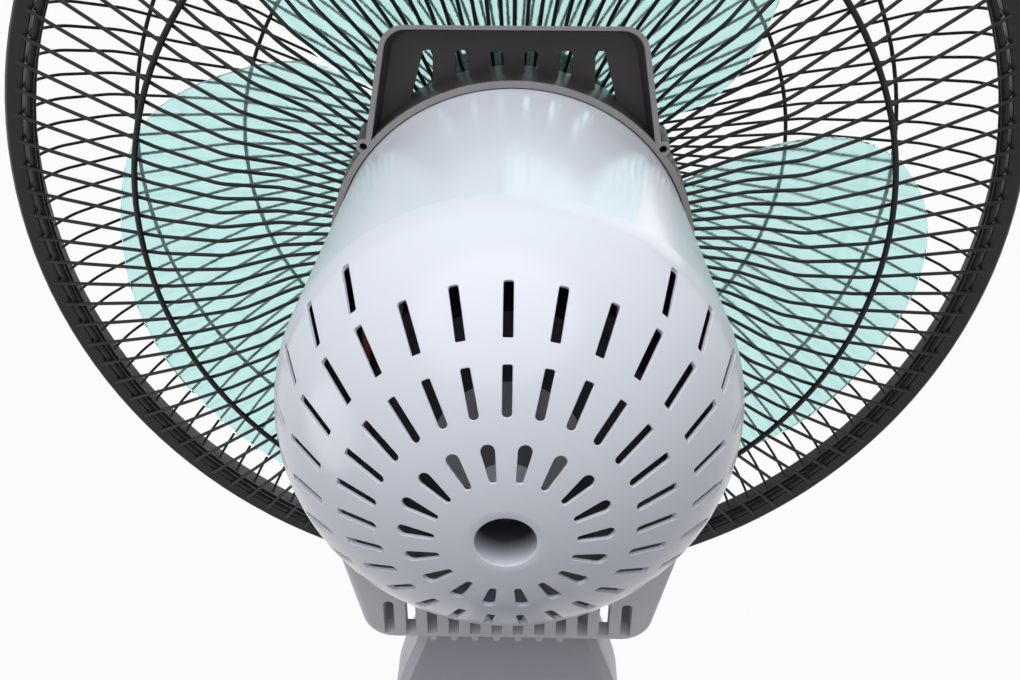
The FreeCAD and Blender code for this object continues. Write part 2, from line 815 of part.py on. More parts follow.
for index in range(3, vents - 2):
    middle = s.vent_pitch * (index - (vents - 1) / 2)
    bumps.append(rod(1.5, s.shroud_back + 0.8, s.shroud_back + 6, middle, shroud_low + 0.4))
shroud_body = join(cut(shroud, shroud_hollow), fins, *bumps)
keep(cut(shroud_body, gather(*vent_cutters), head_room, boss_room, saddle_room, *floor_ways, *screw_room),
     "lower_shroud", "head")
shroud_screws = []
for side in (1, -1):
    shroud_screws.append(join(
        rod(1.5, wall_back, s.shroud_front + 1, 22 * side, shroud_bolt_up),
        rod(3.2, s.shroud_front + s.seat_gap, s.shroud_front + 2, 22 * side, shroud_bolt_up),
    ))
keep(gather(*shroud_screws), "shroud_screws", "head")


# Guard wires: a bent path of straight runs and arcs in a plane through the axis
def bent_path(points, bend):
    places = [Vector(radius, 0, depth) for radius, depth in points]
    edges = []
    last = places[0]
    for index in range(1, len(places) - 1):
        before = (places[index - 1] - places[index]).normalize()
        after = (places[index + 1] - places[index]).normalize()
        opening = before.getAngle(after)
        reach = bend / math.tan(opening / 2)
        start = places[index] + before * reach
        end = places[index] + after * reach
        inward = (before + after).normalize()
        centre = places[index] + inward * (bend / math.sin(opening / 2))
        middle = centre - inward * bend
        edges.append(Part.LineSegment(last, start).toShape())
        edges.append(Part.Arc(start, middle, end).toShape())
        last = end
    edges.append(Part.LineSegment(last, places[-1]).toShape())
    return Part.Wire(edges)


def wire_set(points, bend, radius):
    spine = bent_path(points, bend)
    start = Vector(points[0][0], 0, points[0][1])
    heading = Vector(points[1][0], 0, points[1][1]) - start
    section = Part.Wire(Part.makeCircle(radius, start, heading))
    wire = spine.makePipeShell([section], True, False)
    count = int(round(s.wire_count.number))
    wires = []
    for index in range(count):
        turned_wire = wire.copy()
        turned_wire.rotate(Vector(), Vector(0, 0, 1), 360.0 * index / count)
        wires.append(turned_wire)
    return wires


def hoop(radius, depth, thickness):
    return Part.makeTorus(radius, thickness, Vector(0, 0, depth))


# Rear guard: recessed middle, rear crest, then a slope out to the rim
wire = s.wire_radius.number
weld = 0.03
rear_hub = plate_front.number + 2.8 + weld + wire
rim = s.rim_radius.number
rear_end = (s.rim_inner.number + 1.8, s.rim_back.number - wire - 0.65)
knee = (0.692 * rim, rear_end[1] - 18.6)
rear_points = [(s.snout_radius.number + 9, rear_hub), (0.456 * rim, rear_hub),
               (0.562 * rim, knee[1] - 4.3), knee, rear_end]
rear_lean = math.atan2(rear_end[1] - knee[1], rear_end[0] - knee[0])
rear_wires = wire_set(rear_points, 14, wire)
strut = 0.728 * rim
strut_depth = knee[1] + (strut - knee[0]) * math.tan(rear_lean)
thick = s.ring_wire.number
thin = s.rim_wire.number
keep(loose(hoop(strut, strut_depth - (wire + thick + weld) / math.cos(rear_lean), thick), "StrutRing"),
     "guard_ring", "head")
fine = s.front_wire.number
edge = s.rim_inner.number - 2 * fine - 2 * weld - 0.2 - thin
edge_depth = knee[1] + (edge - knee[0]) * math.tan(rear_lean) + (wire + thin + weld) / math.cos(rear_lean)
edge_ring = hoop(edge, edge_depth, thin)
hub_disc = Part.makeCylinder(s.hub_disc_outer.number, 2.8 - weld, Vector(0, 0, plate_front.number + weld))
hub_hole = Part.makeCylinder(s.snout_radius.number + 0.5, 9, Vector(0, 0, plate_front.number - 2))
hub_disc = hub_disc.cut(hub_hole)
rear_all = loose(Part.makeCompound(rear_wires + [edge_ring, hub_disc]), "RearGuard")
keep(rear_all, "rear_guard", "head")

# Front guard: short skirt in the rim, then a rounded slope to a shallow face
skirt = s.rim_inner.number - 0.2 - fine
front_edge = edge_depth + 2 * thin + 0.2
face = s.guard_front.number
deep = face - front_edge
slope_end = (0.845 * rim, face - 0.5 * deep)
face_edge = (0.62 * rim, face - 0.18 * deep)
face_middle = (0.198 * rim, face)
skirt_end = (skirt, front_edge + 0.11 * deep)
slope_start = (0.93 * rim, face - 0.73 * deep)
front_points = [(skirt, front_edge - 1.1), skirt_end, slope_start, slope_end, face_edge, face_middle]
front_wires = wire_set(front_points, 22, fine)
slim = s.front_ring.number


# A hoop welded behind the wires, on one straight run of theirs
def face_hoop(radius, outer, inner):
    fall = (inner[1] - outer[1]) / (outer[0] - inner[0])
    depth = outer[1] + (outer[0] - radius) * fall
    return hoop(radius, depth - (fine + slim + weld) * math.hypot(1, fall), slim)


front_rings = [
    hoop(edge, front_edge, thin),
    face_hoop(0.797 * rim, slope_end, face_edge),
    face_hoop(0.588 * rim, face_edge, face_middle),
    face_hoop(0.22 * rim, face_edge, face_middle),
]
front_all = loose(Part.makeCompound(front_wires + front_rings), "FrontGuard")
keep(front_all, "front_guard", "head")

# Rim band, its clip, the guard nut and the plain badge
rim_front = s.rim_back + s.rim_width
keep(turned([
    (s.rim_inner, s.rim_back),
    (s.rim_radius - 1.3, s.rim_back),
    (s.rim_radius, s.rim_back + 1.5),
    (s.rim_radius, rim_front - 1.5),
    (s.rim_radius - 1.3, rim_front),
    (s.rim_inner, rim_front),
]), "rim_band", "head")
clip_low = -(s.rim_radius + 4.5)
clip = cut(block(-10, 10, clip_low, 4 - s.rim_radius, s.rim_back + 1, rim_front - 1),
           rod(s.rim_radius + s.seat_gap, s.rim_back - 1, rim_front + 1))
clip_screw = rod(2.2, rim_front - 2, rim_front + 1.2, 0, -(s.rim_radius + 2.4))
keep(join(clip, clip_screw), "rim_clip", "head")
nut_back = sized(rear_hub + wire + 0.05)
nut_front = s.snout_end + 1.5
keep(turned([
    (s.snout_radius + s.seat_gap, nut_back),
    (s.guard_nut_radius, nut_back),
    (s.guard_nut_radius, nut_front - 2.5),
    (s.guard_nut_radius - 2.5, nut_front),
    (s.snout_radius + s.seat_gap, nut_front),
]), "guard_nut", "head")
badge_back = s.guard_front + s.front_wire + s.seat_gap
keep(turned([
    (0, badge_back),
    (s.badge_radius, badge_back),
    (s.badge_radius, badge_back + 1.6),
    (s.badge_radius - 3, badge_back + 3.4),
    (0, badge_back + 4.6),
]), "front_badge", "head")

# Spinning parts: shaft, rotor, cross pin
keep(rod(s.shaft_radius, plate_low - 5, s.blade_hub_front + 14), "motor_shaft", "head")
rotor_bore = rod(s.shaft_radius + s.seat_gap, s.core_back - 1, core_front + 1)
keep(cut(rod(s.rotor_radius, s.core_back, core_front), rotor_bore), "rotor_core", "head")
pin_depth = s.blade_hub_back + 8
keep(cut(rod(1.5, -13, 13, 0, pin_depth, "x"),
         rod(s.shaft_radius + s.seat_gap, pin_depth - 4, pin_depth + 4)), "drive_pin", "head")


# Fan blade: a twisted slab trimmed to a rounded plan shape, three times round a hub
def blade_depth(angle):
    return s.blade_mid.number + s.blade_rise.number * angle


def blade_sheet(shift):
    rows = []
    for share in (0.1, 0.24, 0.4, 0.55, 0.71, 0.87, 1.06):
        radius = share * s.blade_tip.number
        row = []
        for angle in range(-80, 81, 10):
            row.append(seen(radius, angle, blade_depth(angle) + shift))
        rows.append(row)
    surface = Part.BSplineSurface()
    surface.interpolate(rows)
    return surface.toShape()


half = s.blade_thick.number / 2
low_sheet = blade_sheet(-half)
slab = low_sheet.extrude(Vector(0, 0, 2 * half))
tip = s.blade_tip.number
root = s.blade_hub_radius.number - 1.5
plan = [
    (root, -34), (0.26 * tip, -44), (0.4 * tip, -49), (0.52 * tip, -52.5), (0.64 * tip, -52.5),
    (0.79 * tip, -49), (0.915 * tip, -40), (0.98 * tip, -28), (tip, -12), (0.995 * tip, 6),
    (0.95 * tip, 21), (0.87 * tip, 36), (0.69 * tip, 49), (0.58 * tip, 56), (0.5 * tip, 59),
    (0.38 * tip, 58), (0.26 * tip, 52), (root, 40),
]
plan_curve = Part.BSplineCurve()
plan_curve.interpolate([seen(radius, angle, s.blade_mid.number - 40) for radius, angle in plan])
root_end = plan_curve.value(plan_curve.LastParameter)
root_start = plan_curve.value(plan_curve.FirstParameter)
root_middle = seen(root, 3, s.blade_mid.number - 40)
root_arc = Part.Arc(root_end, root_middle, root_start).toShape()
plan_face = Part.Face(Part.Wire([plan_curve.toShape(), root_arc]))
blade = slab.common(plan_face.extrude(Vector(0, 0, 80))).Solids[0]
blades = []
for index in range(3):
    turned_blade = blade.copy()
    turned_blade.rotate(Vector(), Vector(0, 0, 1), s.blade_turn.number + 120 * index)
    blades.append(loose(turned_blade, "Blade"))
hub = turned([
    (s.blade_hub_radius - 3, s.blade_hub_back),
    (s.blade_hub_radius, s.blade_hub_back),
    (s.blade_hub_radius, s.blade_hub_front - 4),
    (s.blade_hub_radius - 4, s.blade_hub_front),
    (s.shaft_radius + s.seat_gap, s.blade_hub_front),
    (s.shaft_radius + s.seat_gap, s.blade_hub_back + 11),
    (9, s.blade_hub_back + 11),
    (9, s.blade_hub_front - 4),
    (s.blade_hub_radius - 3, s.blade_hub_front - 4),
])
whole_blade = join(hub, *blades)
whole_blade.Refine = False
keep(whole_blade, "fan_blade", "head")
nut_low = s.blade_hub_front + s.seat_gap
blade_nut = turned([
    (0, nut_low + 14.5),
    (s.shaft_radius + s.seat_gap, nut_low + 14.5),
    (s.shaft_radius + s.seat_gap, nut_low),
    (17, nut_low),
    (17, nut_low + 9),
    (12, nut_low + 15.5),
    (0, nut_low + 18),
])
keep(blade_nut, "blade_nut", "head")


# Rounded section across a path, for the neck and the arm
def rounded_section(centre, across, up, half_width, half_height, radius, flat=False):
    radius = min(radius, half_width - 0.5, half_height - 0.5)
    edges = []
    corners = []
    for x_sign, y_sign in ((1, 1), (-1, 1), (-1, -1), (1, -1)):
        middle = centre + across * (x_sign * (half_width - radius)) + up * (y_sign * (half_height - radius))
        side = middle + across * (x_sign * radius)
        top = middle + up * (y_sign * radius)
        diagonal = middle + (across * x_sign + up * y_sign).normalize() * radius
        if x_sign * y_sign > 0:
            corners.append((side, diagonal, top))
        else:
            corners.append((top, diagonal, side))
    for index in range(4):
        start, middle, end = corners[index]
        if flat:
            edges.append(Part.LineSegment(start, end).toShape())
        else:
            edges.append(Part.Arc(start, middle, end).toShape())
        edges.append(Part.LineSegment(end, corners[(index + 1) % 4][0]).toShape())
    return Part.Wire(edges)


# Neck: flared body over two hinge knuckles
neck_rise = s.hinge_drop + neck_top
neck_low = s.knuckle_radius + 4
neck_sections = []
for share, flare in ((0, 1), (0.25, 0.78), (0.5, 0.48), (1, 0)):
    level = neck_low.number + share * (neck_rise.number - neck_low.number)
    half_width = s.neck_half_top.number + flare * (s.neck_half_low.number - s.neck_half_top.number)
    neck_sections.append(rounded_section(Vector(0, 0, level), Vector(1, 0, 0), Vector(0, 1, 0), half_width,
                                         s.neck_half_depth.number, s.neck_corner.number, True))
neck_body = loose(Part.makeLoft(neck_sections, True, False), "NeckBody")
knuckle_gap = s.knuckle_half + 0.5
neck_parts = [neck_body]
for low, high in ((knuckle_gap, s.knuckle_outer), (-s.knuckle_outer, -knuckle_gap)):
    neck_parts.append(rod(s.knuckle_radius, low, high, 0, 0, "x"))
    neck_parts.append(block(low, high, 2 - s.knuckle_radius, s.knuckle_radius - 2, 0, neck_low + 3))
hinge_hole = rod(s.tilt_bolt_radius + s.seat_gap, -s.knuckle_outer - 1, s.knuckle_outer + 1, 0, 0, "x")
pin_hole = rod(s.pin_radius + s.seat_gap, neck_rise - s.pin_sunk - s.seat_gap, neck_rise + 1)
keep(cut(join(*neck_parts), hinge_hole, pin_hole), "neck", "hinge")
bolt_head = join(
    rod(s.tilt_bolt_radius, -s.knuckle_outer - 2, s.knuckle_outer + s.tilt_knob_width - 2, 0, 0, "x"),
    rod(s.tilt_bolt_radius + 4.5, -s.knuckle_outer - 5, -s.knuckle_outer - s.seat_gap, 0, 0, "x"),
)
keep(bolt_head, "tilt_bolt", "hinge")
knob_low = s.knuckle_outer + 0.4
knob_core = rod(s.tilt_knob_radius - 4, knob_low, knob_low + s.tilt_knob_width, 0, 0, "x")
lobe_ring = s.tilt_knob_radius - 6
lobes = []
for index in range(6):
    turn = math.radians(60 * index)
    lobes.append(rod(6, knob_low + 2, knob_low + s.tilt_knob_width - 1, lobe_ring * math.cos(turn),
                     lobe_ring * math.sin(turn), "x"))
knob_bore = rod(s.tilt_bolt_radius + s.run_gap, knob_low - 1, knob_low + s.tilt_knob_width - 2, 0, 0, "x")
keep(cut(join(knob_core, *lobes), knob_bore), "tilt_knob", "hinge")

# Swing pin, washer and clip on the neck
keep(rod(s.pin_radius, neck_rise - s.pin_sunk, neck_rise - s.pin_sunk + s.pin_length), "swing_pin", "hinge")
keep(cut(rod(s.boss_radius, neck_rise + 0.01, neck_rise + s.washer_thick),
         rod(s.pin_radius + s.seat_gap, neck_rise - 1, neck_rise + s.washer_thick + 1)),
     "thrust_washer", "hinge")
clip_base = neck_rise + s.washer_thick + s.run_gap + s.boss_height + 0.3
keep(cut(rod(10, clip_base, clip_base + 1.6), rod(s.pin_radius + s.seat_gap, clip_base - 1, clip_base + 3)),
     "pin_clip", "hinge")

# Arm: root block on the plate, curved body, middle knuckle
reach = s.swing_reach.number
pivot_up = pivot_drop.number
rise = s.arm_rise.number
front = s.base_depth.number
arm_top = pivot_up - s.knuckle_radius.number - 3
arm_sections = []
for turn in (0, 18, 36, 54, 72, 90):
    share = turn / 90
    sine = math.sin(math.radians(turn))
    cosine = math.cos(math.radians(turn))
    centre = Vector(0, -front - sine * (reach - front), rise + (1 - cosine) * (arm_top - rise))
    lean = math.atan2((arm_top - rise) * sine, (reach - front) * cosine)
    up = Vector(0, math.sin(lean), math.cos(lean))
    half_width = s.arm_half_root.number + share * (s.arm_half_top.number - s.arm_half_root.number)
    half_height = s.arm_thick_root.number + share * (s.arm_thick_top.number - s.arm_thick_root.number)
    arm_sections.append(rounded_section(centre, Vector(1, 0, 0), up, half_width, half_height, 14))
arm_body = loose(Part.makeLoft(arm_sections, True, False), "ArmBody")
root_half = s.arm_half_root - 8
root_rise = s.arm_thick_root - 8
root_block = block(-root_half, root_half, -s.base_depth - 1, -s.plate_steel - s.seat_gap,
                   s.arm_rise - root_rise, s.arm_rise + root_rise)
knuckle = rod(s.knuckle_radius, -s.knuckle_half, s.knuckle_half, -s.swing_reach, pivot_drop, "x")
stem = block(-s.knuckle_half, s.knuckle_half, 4 - s.knuckle_radius - s.swing_reach,
             s.knuckle_radius - 4 - s.swing_reach, pivot_drop - s.knuckle_radius - 12, pivot_drop)
arm_bore = rod(s.tilt_bolt_radius + s.run_gap, -s.knuckle_half - 1, s.knuckle_half + 1, -s.swing_reach,
               pivot_drop, "x")
arm_bolt_x = root_half - 9
arm_bolt_z = root_rise - 7
bolt_corners = ((1, 1), (-1, 1), (1, -1), (-1, -1))
arm_holes = [rod(2.1, -s.plate_steel - 17, -s.plate_steel + 1, arm_bolt_x * x,
                 s.arm_rise + arm_bolt_z * z, "y") for x, z in bolt_corners]
keep(cut(join(arm_body, root_block, knuckle, stem), arm_bore, *arm_holes), "arm", "world")
arm_bolts = []
for x, z in bolt_corners:
    arm_bolts.append(rod(2, -s.plate_steel - 16, -0.4, arm_bolt_x * x, s.arm_rise + arm_bolt_z * z, "y"))
keep(gather(*arm_bolts), "arm_bolts", "world")

# Wall plate with fixing holes and two posts, seen from the front
plate = padded(rectangle(s.plate_width / 2, s.plate_height / 2), 0, s.plate_steel,
               [((0, 1, 2, 3), s.plate_corner)])
post_up = s.plate_height / 2 - 9
posts = [rod(5, 1, s.base_depth - s.base_wall - 0.1, 0, post_up * side) for side in (1, -1)]
post_holes = [rod(1.6, s.base_depth - s.base_wall - 14, s.base_depth + 1, 0, post_up * side)
              for side in (1, -1)]
fixings = [rod(s.fixing_hole, -1, s.plate_steel + 1, s.fixing_x / 2 * x, s.fixing_z / 2 * y)
           for x, y in bolt_corners]
arm_ways = [rod(2.1, -1, s.plate_steel + 1, arm_bolt_x * x, s.arm_rise + arm_bolt_z * z)
            for x, z in bolt_corners]
keep(cut(join(plate, *posts), *post_holes, *fixings, *arm_ways), "wall_plate", "base")


# Base cover with openings for the arm, the panel parts and the lead
def rounded_front(half_width, half_height, start, end, corner, edge_radius, up=0):
    body = padded(rectangle(half_width, half_height, up), start, end, [((0, 1, 2, 3), corner)])
    return soften(body, end, edge_radius)


cover = rounded_front(s.base_width / 2, s.base_height / 2, 0.3, s.base_depth, s.base_corner, s.base_edge)
cover_hollow = rounded_front(s.base_width / 2 - s.base_wall, s.base_height / 2 - s.base_wall, 0,
                             s.base_depth - s.base_wall, s.base_corner - s.base_wall,
                             s.base_edge - s.base_wall)
panel_up = s.panel_rise - s.base_height / 2
arm_room = block(-root_half - 0.4, root_half + 0.4, s.arm_rise - root_rise - 0.4,
                 s.arm_rise + root_rise + 0.4, s.base_depth - 9, s.base_depth + 2)
cover_ways = [rod(1.8, s.base_depth - 9, s.base_depth + 1, 0, post_up * side) for side in (1, -1)]
shaft_way = rod(s.knob_shaft + 3, s.base_depth - 9, s.base_depth + 1, -s.knob_side, panel_up)
button_way = rod(s.button_radius + 2, s.base_depth - 9, s.base_depth + 1, s.knob_side, panel_up)
lead_depth = s.base_depth / 2
lead_way = rod(s.grommet_radius - 1.5, -s.base_height / 2 - 1, s.base_wall + 4 - s.base_height / 2, 40,
               lead_depth, "y")
keep(cut(cover, cover_hollow, arm_room, *cover_ways, shaft_way, button_way, lead_way), "base_cover", "base")
cover_screws = []
for side in (1, -1):
    cover_screws.append(join(
        rod(1.5, s.base_depth - s.base_wall - 12, s.base_depth + 1, 0, post_up * side),
        rod(3.4, s.base_depth + s.seat_gap, s.base_depth + 2, 0, post_up * side),
    ))
keep(gather(*cover_screws), "cover_screws", "base")

# Control panel, knob, button and the parts behind them
panel_back = s.base_depth + s.seat_gap
panel_front = panel_back + s.panel_thick
panel = rounded_front(s.panel_width / 2, s.panel_height / 2, panel_back, panel_front, 10, 1.2, panel_up)
panel_shaft = rod(s.knob_shaft + 0.5, panel_back - 1, panel_front + 1, -s.knob_side, panel_up)
panel_button = rod(s.button_radius + 0.3, panel_back - 1, panel_front + 1, s.knob_side, panel_up)
screw_notch = rod(5, panel_back - 1, panel_front + 1, 0, -post_up)
keep(cut(panel, panel_shaft, panel_button, screw_notch), "control_panel", "base")
knob_back = panel_front + 0.4
knob_front = knob_back + s.knob_depth
knob_body = join(
    rod(s.knob_radius, knob_back, knob_back + 4, -s.knob_side, panel_up),
    rod(s.knob_radius - 3, knob_back, knob_front, -s.knob_side, panel_up),
    block(-s.knob_side - 3, 3 - s.knob_side, panel_up - s.knob_radius + 2, panel_up + s.knob_radius - 2,
          knob_back, knob_front + 3),
    rod(s.knob_shaft, s.base_depth - 12, knob_back + 3, -s.knob_side, panel_up),
)
keep(knob_body, "speed_knob", "base")
switch_front = s.base_depth - s.base_wall - 0.5
switch_box = block(-s.knob_side - 15, 15 - s.knob_side, panel_up - 15, panel_up + 15,
                   switch_front - 16, switch_front)
switch_bore = rod(s.knob_shaft + s.run_gap, switch_front - 12, switch_front + 1, -s.knob_side, panel_up)
keep(cut(switch_box, switch_bore), "rotary_switch", "base")
button_back = s.base_depth - s.base_wall + 0.6
keep(join(
    rod(s.button_radius, panel_back - 1, panel_front + s.button_travel + 1, s.knob_side, panel_up),
    rod(s.button_radius + 1.4, button_back, panel_back - 0.3, s.knob_side, panel_up),
    rod(2, button_back - 4, panel_back, s.knob_side, panel_up),
), "swing_button", "base")
stop_front = button_back - s.button_travel - 0.5
stem_hole = rod(2.3, stop_front - 6, stop_front + 1, s.knob_side, panel_up)
stop_box = block(s.knob_side - 10, s.knob_side + 10, panel_up - 10, panel_up + 10,
                 stop_front - 14, stop_front)
keep(cut(stop_box, stem_hole), "button_switch", "base")
keep(block(-56, -22, 46, 64, s.plate_steel + 0.05, s.plate_steel + 16), "terminal_block", "base")
keep(block(16, 56, 44, 66, s.plate_steel + 0.05, s.plate_steel + 20), "capacitor", "base")
bush_low = -s.base_height / 2
bush = join(
    rod(s.grommet_radius - 1.53, bush_low - 2.5, bush_low + s.base_wall + 2, 40, lead_depth, "y"),
    rod(s.grommet_radius + 1, bush_low - 3, bush_low - s.seat_gap, 40, lead_depth, "y"),
    rod(s.grommet_radius, bush_low + s.base_wall + s.seat_gap, bush_low + s.base_wall + 2.5, 40,
        lead_depth, "y"),
)
keep(cut(bush, rod(s.grommet_hole, bush_low - 5, bush_low + s.base_wall + 5, 40, lead_depth, "y")),
     "inlet_grommet", "base")

# Check every object, then write one file for each node
document.recompute()
for item in document.Objects:
    if "Invalid" in item.State or "Error" in item.State:
        raise RuntimeError("%s (%s) did not rebuild" % (item.Name, item.Label))
for item in nodes:
    if item.Shape.isNull() or not item.Shape.isValid():
        raise RuntimeError("%s has no valid shape" % item.Label)
os.makedirs("parts", exist_ok=True)
for item in nodes:
    item.Shape.exportStep("parts/%s.step" % item.Label)
print("wrote %d nodes" % len(nodes))
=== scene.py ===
import json
import math

import bpy
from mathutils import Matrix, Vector
from mathutils.geometry import delaunay_2d_cdt

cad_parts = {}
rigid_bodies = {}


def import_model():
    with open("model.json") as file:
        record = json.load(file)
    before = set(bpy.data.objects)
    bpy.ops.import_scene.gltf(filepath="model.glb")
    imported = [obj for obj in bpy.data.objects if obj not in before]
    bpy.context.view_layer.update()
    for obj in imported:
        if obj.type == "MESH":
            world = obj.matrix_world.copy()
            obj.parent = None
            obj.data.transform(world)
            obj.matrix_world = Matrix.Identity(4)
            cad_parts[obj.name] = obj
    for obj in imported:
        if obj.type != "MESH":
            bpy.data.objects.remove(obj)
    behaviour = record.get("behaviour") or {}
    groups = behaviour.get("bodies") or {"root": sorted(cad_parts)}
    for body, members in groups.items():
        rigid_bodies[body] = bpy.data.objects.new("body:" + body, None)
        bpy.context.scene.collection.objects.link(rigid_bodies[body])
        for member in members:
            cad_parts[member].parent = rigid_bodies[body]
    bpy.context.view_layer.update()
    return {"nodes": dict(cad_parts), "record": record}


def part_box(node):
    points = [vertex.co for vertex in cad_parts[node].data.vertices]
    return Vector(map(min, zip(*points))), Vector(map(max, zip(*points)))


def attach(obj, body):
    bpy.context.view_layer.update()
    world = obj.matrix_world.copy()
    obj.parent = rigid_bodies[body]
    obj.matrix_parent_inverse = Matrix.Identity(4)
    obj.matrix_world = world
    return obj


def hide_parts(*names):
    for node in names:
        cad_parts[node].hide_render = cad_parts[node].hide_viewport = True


# Frame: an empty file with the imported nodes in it
for old in list(bpy.data.objects):
    bpy.data.objects.remove(old)
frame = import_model()
nodes = frame["nodes"]
slotOf = {part["node"]: part["material_slot"] for part in frame["record"]["subparts"]}
mm = 0.001
housingLow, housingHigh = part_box("motor_housing")
headTip = Vector((0.0, housingHigh.y, (housingLow.z + housingHigh.z) / 2))
creaseAngle = math.radians(35)
print("frame loaded:", len(nodes), "nodes")


# Shader kit: one class for a socket, one for the tree it belongs to
class Socket:
    def __init__(self, tree, output):
        self.tree = tree
        self.output = output

    def maths(self, operation, first, second):
        return self.tree.node("Math", {"operation": operation}, {0: first, 1: second})

    def __add__(self, other):
        return self.maths("ADD", self, other)

    def __radd__(self, other):
        return self.maths("ADD", other, self)

    def __sub__(self, other):
        return self.maths("SUBTRACT", self, other)

    def __rsub__(self, other):
        return self.maths("SUBTRACT", other, self)

    def __mul__(self, other):
        return self.maths("MULTIPLY", self, other)

    def __rmul__(self, other):
        return self.maths("MULTIPLY", other, self)

    def __gt__(self, other):
        return self.maths("GREATER_THAN", self, other)

    def __lt__(self, other):
        return self.maths("LESS_THAN", self, other)


class Tree:
    def __init__(self, owner):
        owner.use_nodes = True
        self.nodes = owner.node_tree.nodes
        self.links = owner.node_tree.links
        self.nodes.clear()

    def feed(self, place, entry):
        if isinstance(entry, Socket):
            self.links.new(entry.output, place)
        else:
            place.default_value = entry

    def node(self, kind, settings=None, sockets=None, output=0):
        made = self.nodes.new("ShaderNode" + kind)
        for name, entry in (settings or {}).items():
            if name == "stops":
                self.setStops(made.color_ramp.elements, entry)
            else:
                setattr(made, name, entry)
        for name, entry in (sockets or {}).items():
            self.feed(made.inputs[name], entry)
        return Socket(self, made.outputs[output]) if made.outputs else None

    def setStops(self, elements, stops):
        while len(elements) < len(stops):
            elements.new(1.0)
        for element, (position, level) in zip(elements, stops):
            element.position = position
            element.color = (level, level, level, 1.0)

    def ramp(self, value, *stops):
        return self.node("ValToRGB", {"stops": stops}, {"Fac": value})

    def blend(self, factor, first, second):
        return self.node("Mix", {"data_type": "RGBA"}, {0: factor, 6: first, 7: second}, 2)

    def place(self):
        return self.node("TexCoord", output="Object")

    def noise(self, scale, detail, stretch=None):
        spot = self.place()
        if stretch:
            spot = self.node("VectorMath", {"operation": "MULTIPLY"}, {0: spot, 1: stretch})
        return self.node("TexNoise", None, {"Vector": spot, "Scale": scale, "Detail": detail})

    def bump(self, height, distance):
        return self.node("Bump", None, {"Height": height, "Distance": distance, "Strength": 1.0})

    def surface(self, sockets):
        shader = self.node("BsdfPrincipled", None, sockets)
        self.node("OutputMaterial", None, {"Surface": shader})


def colour(red, green, blue):
    return (red, green, blue, 1.0)


# Studio: floor, world, lamps and camera
studio = {
    "floorHeight": -0.62,
    "floorSize": 9.0,
    "floorColour": colour(0.23, 0.23, 0.24),
    "floorGlow": 0.96,
    "skyFrom": 0.1,
    "skyTop": 0.95,
    "skyLow": 0.02,
    "keyPlace": (0.15, 0.5, 1.72),
    "lampAim": (0.0, -0.12, 0.3),
    "keySize": 2.2,
    "keyPower": 18.3,
    "sidePlace": (1.6, 0.12, 0.0),
    "sideSize": 0.9,
    "sidePower": 3.6,
    "frontPlace": (-0.7, -2.0, 0.9),
    "frontSize": 1.6,
    "frontPower": 12.0,
}
lens = {
    "place": (-0.0024008, 0.1989220, 0.5490771),
    "aim": (0.00454, -0.11655, 0.30325),
    "focal": 41.234,
    "sensor": 36.0,
    "near": 0.01,
    "shift": (0.0149, 0.1063),
}


def seenRay(tree):
    # 1 for rays that show the background: straight, in gloss and through clear plastic
    direct = tree.node("LightPath", output="Is Camera Ray")
    mirrored = tree.node("LightPath", output="Is Glossy Ray")
    through = tree.node("LightPath", output="Is Transmission Ray")
    seen = direct + mirrored + through
    return seen.maths("MINIMUM", seen, 1.0)


def makeFloor():
    half = studio["floorSize"] / 2
    height = studio["floorHeight"]
    mesh = bpy.data.meshes.new("studioFloor")
    corners = [(-half, -half, height), (half, -half, height), (half, half, height), (-half, half, height)]
    mesh.from_pydata(corners, [], [(0, 1, 2, 3)])
    floor = bpy.data.objects.new("studioFloor", mesh)
    bpy.context.collection.objects.link(floor)
    material = bpy.data.materials.new("studioPaper")
    tree = Tree(material)
    paper = tree.node("BsdfDiffuse", None, {"Color": studio["floorColour"]})
    glow = tree.node("Emission", None, {"Color": colour(1, 1, 1), "Strength": 1.0})
    mixed = tree.node("MixShader", None, {0: seenRay(tree) * studio["floorGlow"], 1: paper, 2: glow})
    tree.node("OutputMaterial", None, {"Surface": mixed})
    mesh.materials.append(material)


def makeWorld():
    world = bpy.data.worlds.new("studioSky")
    tree = Tree(world)
    seen = seenRay(tree)
    heading = tree.node("TexCoord", output="Generated")
    height = tree.node("SeparateXYZ", None, {0: heading}, 2)
    rise = tree.node("MapRange", None, {"Value": height, "From Min": studio["skyFrom"], "From Max": 1.0,
                                        "To Min": studio["skyLow"], "To Max": studio["skyTop"]})
    level = seen + (1 - seen) * rise
    sky = tree.node("Background", None, {"Color": colour(1, 1, 1), "Strength": level})
    tree.node("OutputWorld", None, {"Surface": sky})
    bpy.context.scene.world = world


def makeLamp(name, place, size, power):
    lamp = bpy.data.lights.new(name, "AREA")
    lamp.shape = "DISK"
    lamp.size = size
    lamp.energy = power
    holder = bpy.data.objects.new(name, lamp)
    holder.location = place
    heading = Vector(studio["lampAim"]) - Vector(place)
    holder.rotation_euler = heading.to_track_quat("-Z", "Y").to_euler()
    bpy.context.collection.objects.link(holder)


def makeCamera():
    camera = bpy.data.cameras.new("camera")
    camera.sensor_fit = "HORIZONTAL"
    camera.sensor_width = lens["sensor"]
    camera.lens = lens["focal"]
    camera.shift_x, camera.shift_y = lens["shift"]
    camera.clip_start = lens["near"]
    holder = bpy.data.objects.new("camera", camera)
    holder.location = lens["place"]
    heading = Vector(lens["aim"]) - Vector(lens["place"])
    holder.rotation_euler = heading.to_track_quat("-Z", "Y").to_euler()
    bpy.context.collection.objects.link(holder)
    bpy.context.scene.camera = holder


